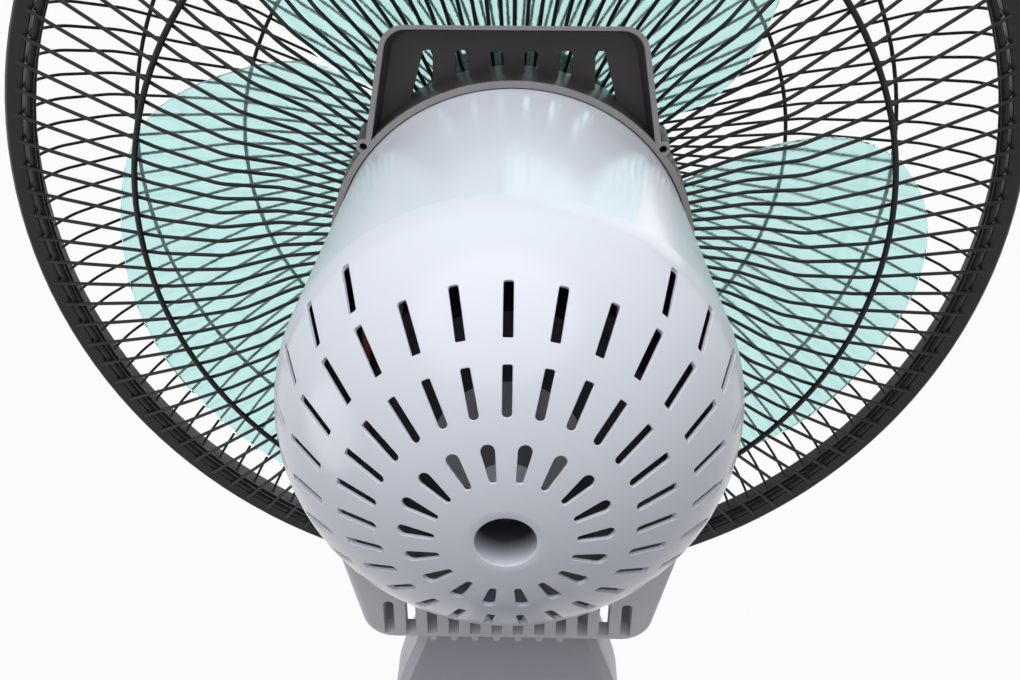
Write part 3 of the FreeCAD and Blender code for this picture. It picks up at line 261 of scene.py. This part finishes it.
makeFloor()
makeWorld()
makeLamp("keyLamp", studio["keyPlace"], studio["keySize"], studio["keyPower"])
makeLamp("sideLamp", studio["sidePlace"], studio["sideSize"], studio["sidePower"])
makeLamp("frontLamp", studio["frontPlace"], studio["frontSize"], studio["frontPower"])
makeCamera()
bpy.context.scene.view_settings.view_transform = "Standard"
print("studio set")


# Finishes: one function for a family of surfaces, one entry for each slot, or for a node that differs
noiseDetail = {"fine": 2.0, "cloud": 4.0, "smear": 5.0}
housingPale = colour(0.735, 0.775, 0.87)
housingDark = colour(0.71, 0.748, 0.845)
plastics = {
    "motor_housing": {
        "pale": housingPale, "dark": housingDark,
        "rough": 0.18, "spread": 0.05, "cloud": 14.0, "grain": 900.0, "depth": 0.000004,
    },
    "housing_plastic": {
        "pale": housingPale, "dark": housingDark,
        "rough": 0.3, "spread": 0.1, "cloud": 14.0, "grain": 900.0, "depth": 0.00001,
    },
    "pale_plastic": {
        "pale": colour(0.72, 0.72, 0.76), "dark": colour(0.68, 0.68, 0.72),
        "rough": 0.30, "spread": 0.12, "cloud": 18.0, "grain": 1300.0, "depth": 0.00003,
    },
    "grey_plastic": {
        "pale": colour(0.135, 0.126, 0.13), "dark": colour(0.115, 0.107, 0.11),
        "rough": 0.36, "spread": 0.16, "cloud": 22.0, "grain": 1600.0, "depth": 0.00004,
    },
    # head bracket: darker than the grey plastic slot, partly its own charcoal colour and partly painted
    # shade inside the deep tray
    "head_bracket": {
        "pale": colour(0.060, 0.051, 0.052), "dark": colour(0.049, 0.042, 0.043),
        "rough": 0.38, "spread": 0.16, "cloud": 22.0, "grain": 1600.0, "depth": 0.00004, "gloss": 0.35,
    },
    # neck: the pale plastic darkened, as painted shade from the head above it
    "neck": {
        "pale": colour(0.47, 0.48, 0.53), "dark": colour(0.44, 0.45, 0.50),
        "rough": 0.32, "spread": 0.12, "cloud": 18.0, "grain": 1300.0, "depth": 0.00003,
    },
    "black_plastic": {
        "pale": colour(0.020, 0.020, 0.022), "dark": colour(0.012, 0.012, 0.013),
        "rough": 0.36, "spread": 0.14, "cloud": 30.0, "grain": 1400.0, "depth": 0.00004, "gloss": 0.3,
    },
    "switch_plastic": {
        "pale": colour(0.10, 0.10, 0.11), "dark": colour(0.07, 0.07, 0.08),
        "rough": 0.45, "spread": 0.1, "cloud": 40.0, "grain": 1500.0, "depth": 0.00004,
    },
    "capacitor_plastic": {
        "pale": colour(0.80, 0.80, 0.77), "dark": colour(0.72, 0.72, 0.68),
        "rough": 0.35, "spread": 0.1, "cloud": 40.0, "grain": 1500.0, "depth": 0.00003,
    },
    "washer_nylon": {
        "pale": colour(0.80, 0.80, 0.75), "dark": colour(0.72, 0.72, 0.66),
        "rough": 0.42, "spread": 0.1, "cloud": 60.0, "grain": 1500.0, "depth": 0.00003,
    },
    "lead_red": {
        "pale": colour(0.38, 0.05, 0.03), "dark": colour(0.30, 0.035, 0.02),
        "rough": 0.4, "spread": 0.1, "cloud": 80.0, "grain": 1800.0, "depth": 0.00002,
    },
    "grommet_rubber": {
        "pale": colour(0.022, 0.022, 0.022), "dark": colour(0.014, 0.014, 0.014),
        "rough": 0.7, "spread": 0.12, "cloud": 60.0, "grain": 1500.0, "depth": 0.00008,
    },
    "guard_paint": {
        "pale": colour(0.014, 0.014, 0.015), "dark": colour(0.008, 0.008, 0.009),
        "rough": 0.42, "spread": 0.2, "cloud": 60.0, "grain": 700.0, "depth": 0.00005, "gloss": 0.25,
    },
}
moulding = {
    "smearScale": 55.0,
    "smearStops": ((0.45, 0.0), (0.75, 1.0)),
    "grainRough": 0.06,
    "refraction": 1.5,
    "gloss": 0.5,
}
# painted shade in the screw well of the housing, and a painted highlight on the rear edge of the bracket,
# in metres from the node's back
paintedShading = {
    "motor_housing": {"paintedColour": colour(0.06, 0.062, 0.07), "radius": 0.0096, "from": -0.002, "to": -0.012},
    "head_bracket": {"paintedColour": colour(0.31, 0.295, 0.3), "radius": 1.0, "from": -0.0014, "to": -0.0004},
}
bell = {
    "paint": colour(0.02, 0.02, 0.022),
    "bare": colour(0.42, 0.42, 0.44),
    "bareRadius": 0.024,
    "bareMetal": 0.7,
    "rough": 0.36,
    "spread": 0.2,
    "grain": 700.0,
    "depth": 0.00008,
}
casting = {
    "stainScale": 90.0,
    "stainStops": ((0.4, 0.0), (0.7, 1.0)),
    "stainRough": 0.08,
    "stainDull": 0.25,
    "depth": 0.00003,
}
metals = {
    "screw_steel": {
        "pale": colour(0.62, 0.62, 0.63), "dark": colour(0.45, 0.45, 0.46),
        "rough": 0.3, "spread": 0.16, "stretch": (1, 1, 1), "scale": 400.0,
    },
    "plate_steel": {
        "pale": colour(0.60, 0.61, 0.62), "dark": colour(0.46, 0.47, 0.48),
        "rough": 0.36, "spread": 0.18, "stretch": (1, 1, 0.06), "scale": 260.0,
    },
    "cast_alloy": {
        "pale": colour(0.60, 0.61, 0.62), "dark": colour(0.44, 0.45, 0.46),
        "rough": 0.48, "spread": 0.2, "stretch": (1, 1, 1), "scale": 520.0,
    },
    "core_steel": {
        "pale": colour(0.20, 0.19, 0.19), "dark": colour(0.10, 0.10, 0.10),
        "rough": 0.5, "spread": 0.2, "stretch": (0.02, 1, 0.02), "scale": 1500.0,
    },
    "copper": {
        "pale": colour(0.70, 0.32, 0.16), "dark": colour(0.42, 0.16, 0.07),
        "rough": 0.32, "spread": 0.2, "stretch": (1, 0.15, 1), "scale": 900.0,
    },
    "bronze": {
        "pale": colour(0.62, 0.42, 0.22), "dark": colour(0.44, 0.28, 0.13),
        "rough": 0.42, "spread": 0.16, "stretch": (1, 1, 1), "scale": 700.0,
    },
}
blade = {
    "pale": colour(0.66, 0.985, 0.965),
    "dark": colour(0.62, 0.955, 0.935),
    "rough": 0.06,
    "spread": 0.1,
    "cloud": 24.0,
    "grain": 700.0,
    "depth": 0.00001,
    "clear": 0.9,
    "refraction": 1.49,
}


def axisRadius(tree):
    # distance from the motor's axis
    aside = tree.node("VectorMath", {"operation": "SUBTRACT"}, {0: tree.place(), 1: (0.0, 0.0, headTip.z)})
    flat = tree.node("VectorMath", {"operation": "MULTIPLY"}, {0: aside, 1: (1.0, 0.0, 1.0)})
    return tree.node("VectorMath", {"operation": "LENGTH"}, {0: flat}, "Value")


def paintedShadingMask(tree, name):
    # 1 where a node's painted shade or painted highlight covers its skin, ramped along the motor's axis
    # from the node's back
    paintedMark = paintedShading[name]
    along = tree.node("SeparateXYZ", None, {0: tree.place()}, 1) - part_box(name)[1].y
    ramp = {"Value": along, "From Min": paintedMark["from"], "From Max": paintedMark["to"]}
    return tree.node("MapRange", None, ramp) * (axisRadius(tree) < paintedMark["radius"])


def plasticFinish(name, look):
    material = bpy.data.materials.new(name + "Finish")
    tree = Tree(material)
    clouds = tree.noise(look["cloud"], noiseDetail["cloud"])
    grain = tree.noise(look["grain"], noiseDetail["fine"])
    smears = tree.ramp(tree.noise(moulding["smearScale"], noiseDetail["smear"]), *moulding["smearStops"])
    skin = tree.blend(clouds, look["pale"], look["dark"])
    # painted shade or painted highlight blended over the skin where the node has one
    if name in paintedShading:
        skin = tree.blend(paintedShadingMask(tree, name), skin, paintedShading[name]["paintedColour"])
    tree.surface({
        "Base Color": skin,
        "Roughness": look["rough"] + smears * look["spread"] + (grain - 0.5) * moulding["grainRough"],
        "Normal": tree.bump(grain, look["depth"]),
        "IOR": moulding["refraction"],
        "Specular IOR Level": look.get("gloss", moulding["gloss"]),
    })
    return material


def metalFinish(name, look):
    material = bpy.data.materials.new(name)
    tree = Tree(material)
    streaks = tree.noise(look["scale"], noiseDetail["cloud"], look["stretch"])
    stains = tree.ramp(tree.noise(casting["stainScale"], noiseDetail["smear"]), *casting["stainStops"])
    tree.surface({
        "Base Color": tree.blend(streaks, look["pale"], look["dark"]),
        "Roughness": look["rough"] + (streaks - 0.5) * look["spread"] + stains * casting["stainRough"],
        "Metallic": 1.0 - stains * casting["stainDull"],
        "Normal": tree.bump(streaks, casting["depth"]),
    })
    return material


def bellFinish(name):
    # enamel over casting grain, left bare on the hub round the shaft
    material = bpy.data.materials.new(name)
    tree = Tree(material)
    grain = tree.noise(bell["grain"], noiseDetail["cloud"])
    painted = axisRadius(tree) > bell["bareRadius"]
    tree.surface({
        "Base Color": tree.blend(painted, bell["bare"], bell["paint"]),
        "Roughness": bell["rough"] + (grain - 0.5) * bell["spread"],
        "Metallic": bell["bareMetal"] * (1 - painted),
        "Normal": tree.bump(grain, bell["depth"]),
    })
    return material


def bladeFinish(name):
    material = bpy.data.materials.new(name)
    tree = Tree(material)
    clouds = tree.noise(blade["cloud"], noiseDetail["cloud"])
    grain = tree.noise(blade["grain"], noiseDetail["fine"])
    tree.surface({
        "Base Color": tree.blend(clouds, blade["pale"], blade["dark"]),
        "Roughness": blade["rough"] + (clouds - 0.5) * blade["spread"],
        "Transmission Weight": blade["clear"],
        "Normal": tree.bump(grain, blade["depth"]),
        "IOR": blade["refraction"],
    })
    return material


finishes = {name: plasticFinish(name, look) for name, look in plastics.items()}
finishes.update({name: metalFinish(name + "Finish", look) for name, look in metals.items()})
finishes["blade_plastic"] = bladeFinish("bladeFinish")
finishes["motor_paint"] = bellFinish("bellFinish")
for name, node in nodes.items():
    for place in node.material_slots:
        place.material = finishes[name if name in finishes else slotOf[name]]
print("finishes made:", len(finishes))


def addPiece(name, mesh, body, slot, replaced=()):
    piece = bpy.data.objects.new(name, mesh)
    bpy.context.collection.objects.link(piece)
    mesh.materials.append(finishes[replaced[0] if replaced else slot])
    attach(piece, body)
    if replaced:
        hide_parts(*replaced)


# Motor housing: a slotted dome that runs into a cone, sizes in millimetres
housing = {
    "radius": 79.0,
    "domeDepth": 69.0,
    "mouthRadius": 71.4,
    "length": 178.0,
    "wall": 1.5,
    "chamfer": 0.28,
    "ringPoints": 224,
    "spacing": 2.6,
    "slotMargin": 1.1,
    "cutTolerance": 0.000001,
    "bands": (12.1, 36.1, 55.0, 70.2, 79.0),
    "mouthLip": 0.5,
    "lipShare": 0.3,
    "coneShares": (0.1, 0.3, 0.5, 0.7, 0.99),
    "innerStep": 2.0,
    "wellRadius": 9.3,
    "wellEdge": 0.6,
    "wellEdgeSteps": 6,
    "wellRaise": 0.2,
    "wellFloor": 21.8,
    "holeEdge": 0.4,
    "screwHole": 2.3,
    "tubeRadius": 11.5,
    "tubeEnd": 24.0,
    "slotCount": 27,
}
slotRows = {
    "inner": {"from": 39.6, "to": 52.1, "width": 2.8, "tail": 2.8, "inRound": 1.25, "outRound": 0.5},
    "middle": {"from": 58.0, "to": 68.8, "width": 2.9, "tail": 2.9, "inRound": 0.3, "outRound": 0.7},
    "outer": {"from": 71.6, "to": 78.1, "width": 2.9, "tail": 2.9, "inRound": 0.3, "outRound": 0.7},
    "petal": {"from": 21.4, "to": 32.6, "width": 1.9, "tail": 4.6, "inRound": 0.9, "outRound": 1.95},
}
outerRowLimits = (35.0, 145.0)
petalCount = 18


def headPoint(radius, seenAngle, depth):
    # seenAngle runs clockwise from the top, seen from behind
    across = -radius * math.sin(seenAngle)
    up = radius * math.cos(seenAngle)
    return headTip + Vector((across, -depth, up)) * mm


class Dome:
    # places on the ellipse dome by arc length from its tip
    def __init__(self, radius, depth, steps=2000):
        self.radius = radius
        self.depth = depth
        self.turns = [math.pi / 2 * step / steps for step in range(steps + 1)]
        self.arcs = [0.0]
        for first, second in zip(self.turns, self.turns[1:]):
            middle = (first + second) / 2
            speed = math.hypot(radius * math.cos(middle), depth * math.sin(middle))
            self.arcs.append(self.arcs[-1] + speed * (second - first))

    def arcAt(self, radius):
        turn = math.asin(min(1.0, radius / self.radius))
        return self.arcs[round(turn / (math.pi / 2) * (len(self.arcs) - 1))]

    def turnAt(self, arc):
        low, high = 0, len(self.arcs) - 1
        while high - low > 1:
            middle = (low + high) // 2
            if self.arcs[middle] > arc:
                high = middle
            else:
                low = middle
        share = (arc - self.arcs[low]) / (self.arcs[high] - self.arcs[low])
        return self.turns[low] + share * (self.turns[high] - self.turns[low])

    def radiusAt(self, arc):
        return self.radius * math.sin(self.turnAt(arc))

    def normal(self, arc, angle):
        turn = self.turnAt(arc)
        radial = math.sin(turn) / self.radius
        back = math.cos(turn) / self.depth
        facing = Vector((-radial * math.sin(angle), back, radial * math.cos(angle)))
        return facing.normalized()

    def point(self, arc, angle, below=0.0):
        turn = self.turnAt(arc)
        spot = headPoint(self.radius * math.sin(turn), angle, self.depth * (1 - math.cos(turn)))
        return spot - self.normal(arc, angle) * below * mm


def roundedOutline(corners, rounds, steps=5):
    # a polygon with each corner rounded by an arc
    points = []
    for place, (corner, radius) in enumerate(zip(corners, rounds)):
        here = Vector(corner)
        back = (Vector(corners[place - 1]) - here).normalized()
        onward = (Vector(corners[(place + 1) % len(corners)]) - here).normalized()
        half = back.angle(onward) / 2
        middle = here + (back + onward).normalized() * (radius / math.sin(half))
        start = here + back * (radius / math.tan(half)) - middle
        end = here + onward * (radius / math.tan(half)) - middle
        sweep = start.angle_signed(end)
        for step in range(steps + 1):
            turn = -sweep * step / steps
            points.append(middle + Vector((
                start.x * math.cos(turn) - start.y * math.sin(turn),
                start.x * math.sin(turn) + start.y * math.cos(turn),
            )))
    return points


def slotOutline(dome, row, angle, grow):
    # points as (arc, angle) round one slot, grown on all sides
    first = dome.arcAt(row["from"]) - grow
    last = dome.arcAt(row["to"]) + grow
    narrow = row["width"] / 2 + grow
    wide = row["tail"] / 2 + grow
    inRound = row["inRound"] + grow
    outRound = row["outRound"] + grow
    corners = [(-narrow, first), (narrow, first), (wide, last), (-wide, last)]
    outline = roundedOutline(corners, [inRound, inRound, outRound, outRound])
    return [(spot.y, angle + spot.x / dome.radiusAt(spot.y)) for spot in reversed(outline)]


def slotPlaces():
    # every slot's row and seen angle
    low, high = outerRowLimits
    for place in range(housing["slotCount"]):
        turned = 360 * place / housing["slotCount"]
        angle = math.radians(turned)
        yield slotRows["inner"], angle
        yield slotRows["middle"], angle
        if low < min(turned, 360 - turned) < high:
            yield slotRows["outer"], angle
    for petal in range(petalCount):
        yield slotRows["petal"], math.radians((petal + 0.5) * 360 / petalCount)


def flatPlace(arc, angle):
    return Vector((arc * math.sin(angle), arc * math.cos(angle)))


class PieceMesh:
    # vertices, faces and a normal for each face corner
    def __init__(self):
        self.points = []
        self.faces = []
        self.normals = []

    def add(self, spots):
        start = len(self.points)
        self.points.extend(spots)
        return list(range(start, len(self.points)))

    def face(self, corners, normals=None):
        self.faces.append(corners)
        self.normals.extend(normals or [Vector()] * len(corners))

    def bridge(self, first, second, firstNormals=None, secondNormals=None):
        count = len(first)
        for place in range(count):
            after = (place + 1) % count
            normals = None
            if firstNormals:
                normals = [firstNormals[place], firstNormals[after],
                           secondNormals[after], secondNormals[place]]
            self.face([first[place], first[after], second[after], second[place]], normals)

    def build(self, name):
        mesh = bpy.data.meshes.new(name)
        mesh.from_pydata(self.points, [], self.faces)
        mesh.shade_smooth()
        mesh.set_sharp_from_angle(angle=creaseAngle)
        mesh.normals_split_custom_set(self.normals)
        return mesh


def clearOfSlots(arc, angle, dome, spans, margin):
    radius = dome.radiusAt(arc)
    for first, last, middle, half in spans:
        if first - margin < arc < last + margin:
            aside = abs((angle - middle + math.pi) % (2 * math.pi) - math.pi) * radius
            if aside < half + margin:
                return False
    return True


def bandTriangles(spots, rings, loops, fill):
    # triangles between two rings of the dome, leaving the loops open
    places = [place for loop in rings + loops for place in loop] + fill
    local = {place: order for order, place in enumerate(places)}
    edges = []
    for loop in rings + loops:
        edges.extend((local[loop[step - 1]], local[loop[step]]) for step in range(len(loop)))
    flat = [flatPlace(*spots[place]) for place in places]
    cut = delaunay_2d_cdt(flat, edges, [], 0, housing["cutTolerance"])
    holes = [set(loop) for loop in rings[:1] + loops]
    for triangle in cut[2]:
        corners = [places[cut[3][corner][0]] for corner in triangle]
        if not any(hole.issuperset(corners) for hole in holes):
            yield corners


def fillPoints(dome, first, last, spans):
    # evenly spread points of a band that keep clear of its slots
    rows = round((last - first) / housing["spacing"])
    for row in range(1, rows):
        arc = first + (last - first) * row / rows
        count = round(2 * math.pi * dome.radiusAt(arc) / housing["spacing"])
        for place in range(count):
            angle = 2 * math.pi * (place + 0.5 * (row % 2)) / count
            if clearOfSlots(arc, angle, dome, spans, housing["slotMargin"]):
                yield arc, angle


def makeHousing():
    dome = Dome(housing["radius"], housing["domeDepth"])
    ringCount = housing["ringPoints"]
    turns = [2 * math.pi * place / ringCount for place in range(ringCount)]
    slots = list(slotPlaces())
    spots, triangles, slotLoops = [], [], []

    def keep(places):
        start = len(spots)
        spots.extend(places)
        return list(range(start, len(spots)))

    arcs = [dome.arcAt(radius) for radius in housing["bands"]]
    rings = [keep([(arc, turn) for turn in turns]) for arc in arcs]
    for inside, outside, first, last in zip(rings, rings[1:], arcs, arcs[1:]):
        held = [slot for slot in slots if first < dome.arcAt(slot[0]["from"]) < last]
        loops = [keep(slotOutline(dome, row, angle, housing["chamfer"])) for row, angle in held]
        throats = [slotOutline(dome, row, angle, 0.0) for row, angle in held]
        slotLoops.extend(zip(loops, throats))
        spans = [(dome.arcAt(row["from"]), dome.arcAt(row["to"]), angle,
                  max(row["width"], row["tail"]) / 2) for row, angle in held]
        fill = keep(fillPoints(dome, first, last, spans))
        triangles.extend(bandTriangles(spots, [inside, outside], loops, fill))
    shell = PieceMesh()
    outer = shell.add([dome.point(*spot) for spot in spots])
    inner = shell.add([dome.point(*spot, housing["wall"]) for spot in spots])
    facing = [dome.normal(*spot) for spot in spots]
    for corners in triangles:
        shell.face([outer[corner] for corner in corners], [facing[corner] for corner in corners])
        back = corners[::-1]
        shell.face([inner[corner] for corner in back], [-facing[corner] for corner in back])
    for places, throat in slotLoops:
        ring = shell.add([dome.point(*spot, housing["chamfer"]) for spot in throat])
        walls = []
        for step, place in enumerate(places):
            along = shell.points[ring[(step + 1) % len(ring)]] - shell.points[ring[step - 1]]
            walls.append(along.cross(facing[place]).normalized())
        top = [outer[place] for place in places]
        bottom = [inner[place] for place in places]
        shell.bridge(ring, top, walls, [facing[place] for place in places])
        shell.bridge(bottom, ring, walls, walls)
    finishCone(shell, [outer[place] for place in rings[-1]], [inner[place] for place in rings[-1]], turns)
    finishWell(shell, [outer[place] for place in rings[0]], [inner[place] for place in rings[0]], turns)
    mesh = shell.build("motorHousing")
    addPiece("motorHousing", mesh, "head", "housing_plastic", ["motor_housing"])
    return len(shell.faces)


def latheRing(shell, radius, depth, turns):
    return shell.add([headPoint(radius, turn, depth) for turn in turns])


def lathe(shell, first, profile, last, turns):
    # rings along a profile of (radius, depth), joined to a first and a last ring
    rings = [first] + [latheRing(shell, radius, depth, turns) for radius, depth in profile] + [last]
    for before, after in zip(rings, rings[1:]):
        shell.bridge(before, after)


def finishCone(shell, outer, inner, turns):
    start = housing["domeDepth"]
    run = housing["length"] - start
    slope = (housing["mouthRadius"] - housing["radius"]) / run
    mouth = housing["mouthRadius"]
    wall = housing["wall"]
    lip = housing["mouthLip"]
    rounded = housing["lipShare"] * lip
    facing = [Vector((-math.sin(turn), slope, math.cos(turn))).normalized() for turn in turns]
    rings = [outer]
    for share in housing["coneShares"]:
        rings.append(latheRing(shell, housing["radius"] + slope * share * run, start + share * run, turns))
    for before, after in zip(rings, rings[1:]):
        shell.bridge(before, after, facing, facing)
    profile = [(mouth - rounded, housing["length"] - rounded), (mouth - lip, housing["length"])]
    profile += [(mouth - wall + lip, housing["length"]), (mouth - wall, housing["length"] - lip)]
    profile.append((housing["radius"] - wall, start + housing["innerStep"]))
    lathe(shell, rings[-1], profile, inner, turns)


def finishWell(shell, outer, inner, turns):
    well = housing["wellRadius"]
    edge = housing["wellEdge"]
    steps = housing["wellEdgeSteps"]
    floor = housing["wellFloor"]
    hole = housing["screwHole"]
    chamfer = housing["holeEdge"]
    share = housing["bands"][0] / housing["radius"]
    lipDepth = housing["domeDepth"] * (1 - math.sqrt(1 - share ** 2))
    crown = lipDepth - housing["wellRaise"] + edge
    profile = []
    for step in range(1, steps + 1):
        turn = math.pi / 2 * step / steps
        profile.append((well + edge - edge * math.sin(turn), crown - edge * math.cos(turn)))
    profile += [(well, floor - edge), (well - edge, floor)]
    profile += [(hole + chamfer, floor), (hole, floor + chamfer)]
    profile += [(hole, housing["tubeEnd"]), (housing["tubeRadius"], housing["tubeEnd"])]
    profile.append((housing["tubeRadius"], lipDepth + housing["wall"] + chamfer))
    lathe(shell, outer, profile, inner, turns)


print("housing faces:", makeHousing())


# Dial: plain speed numbers round the knob and a pointer line on it, sizes in millimetres
dial = {
    "marks": "0123",
    "step": 45.0,
    "ring": 20.2,
    "letter": 6.4,
    "raise": 0.15,
    "pointerFrom": 3.5,
    "pointerTo": 14.0,
    "pointerHalf": 0.7,
    "pointerRound": 0.63,
}


def jointPlace(name):
    for joint in frame["record"]["behaviour"]["joints"]:
        if joint["name"] == name:
            return Vector(joint["pos_m"])


def makeNumbers(centre):
    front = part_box("control_panel")[0].y
    points = []
    faces = []
    for place, mark in enumerate(dial["marks"]):
        text = bpy.data.curves.new("dialMark", "FONT")
        text.body = mark
        text.size = dial["letter"] * mm
        text.align_x = "CENTER"
        text.align_y = "CENTER"
        text.extrude = dial["raise"] * mm
        holder = bpy.data.objects.new("dialMark", text)
        letter = bpy.data.meshes.new_from_object(holder)
        turn = math.radians(place * dial["step"])
        middle = centre + Vector((math.sin(turn), 0, math.cos(turn))) * dial["ring"] * mm
        start = len(points)
        for corner in letter.vertices:
            points.append((middle.x + corner.co.x, front - corner.co.z, middle.z + corner.co.y))
        faces.extend([start + index for index in face.vertices] for face in letter.polygons)
        bpy.data.objects.remove(holder)
    mesh = bpy.data.meshes.new("dialNumbers")
    mesh.from_pydata(points, [], faces)
    addPiece("dialNumbers", mesh, "base", "housing_plastic")


def makePointer(centre):
    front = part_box("speed_knob")[0].y
    half = dial["pointerHalf"]
    low, high = dial["pointerFrom"], dial["pointerTo"]
    corners = [(-half, low), (half, low), (half, high), (-half, high)]
    outline = roundedOutline(corners, [dial["pointerRound"]] * 4)
    shell = PieceMesh()
    rings = []
    for level in (-dial["raise"], dial["raise"]):
        rings.append(shell.add([(centre.x + spot.x * mm, front - level * mm, centre.z + spot.y * mm)
                                for spot in outline]))
    shell.bridge(rings[0], rings[1])
    shell.face(rings[1])
    shell.face(rings[0][::-1])
    addPiece("knobPointer", shell.build("knobPointer"), "speed_knob", "housing_plastic")


makeNumbers(jointPlace("speed_select"))
makePointer(jointPlace("speed_select"))
print("dial marked")


# Moulded edges: carried-over nodes get a small round on every sharp edge
edgeRounds = {
    "head_bracket": 0.6,
    "lower_shroud": 0.5,
    "control_panel": 0.5,
    "base_cover": 0.8,
    "speed_knob": 0.5,
    "swing_button": 0.5,
    "tilt_knob": 0.5,
    "front_badge": 0.5,
    "rim_clip": 0.4,
    "guard_nut": 0.4,
    "blade_nut": 0.4,
    "rim_band": 0.5,
    "wall_plate": 0.25,
}
rounding = {
    "weld": 0.01,
    "flatAngle": math.radians(0.5),
    "segments": 3,
    "evenness": 80,
}


def roundEdges(node, width):
    weld = node.modifiers.new("weld", "WELD")
    weld.merge_threshold = rounding["weld"] * mm
    flatten = node.modifiers.new("flatten", "DECIMATE")
    flatten.decimate_type = "DISSOLVE"
    flatten.angle_limit = rounding["flatAngle"]
    bevel = node.modifiers.new("round", "BEVEL")
    bevel.width = width * mm
    bevel.segments = rounding["segments"]
    bevel.limit_method = "ANGLE"
    bevel.angle_limit = creaseAngle
    even = node.modifiers.new("even", "WEIGHTED_NORMAL")
    even.weight = rounding["evenness"]


for name, width in edgeRounds.items():
    roundEdges(nodes[name], width)
print("edges rounded:", len(edgeRounds))
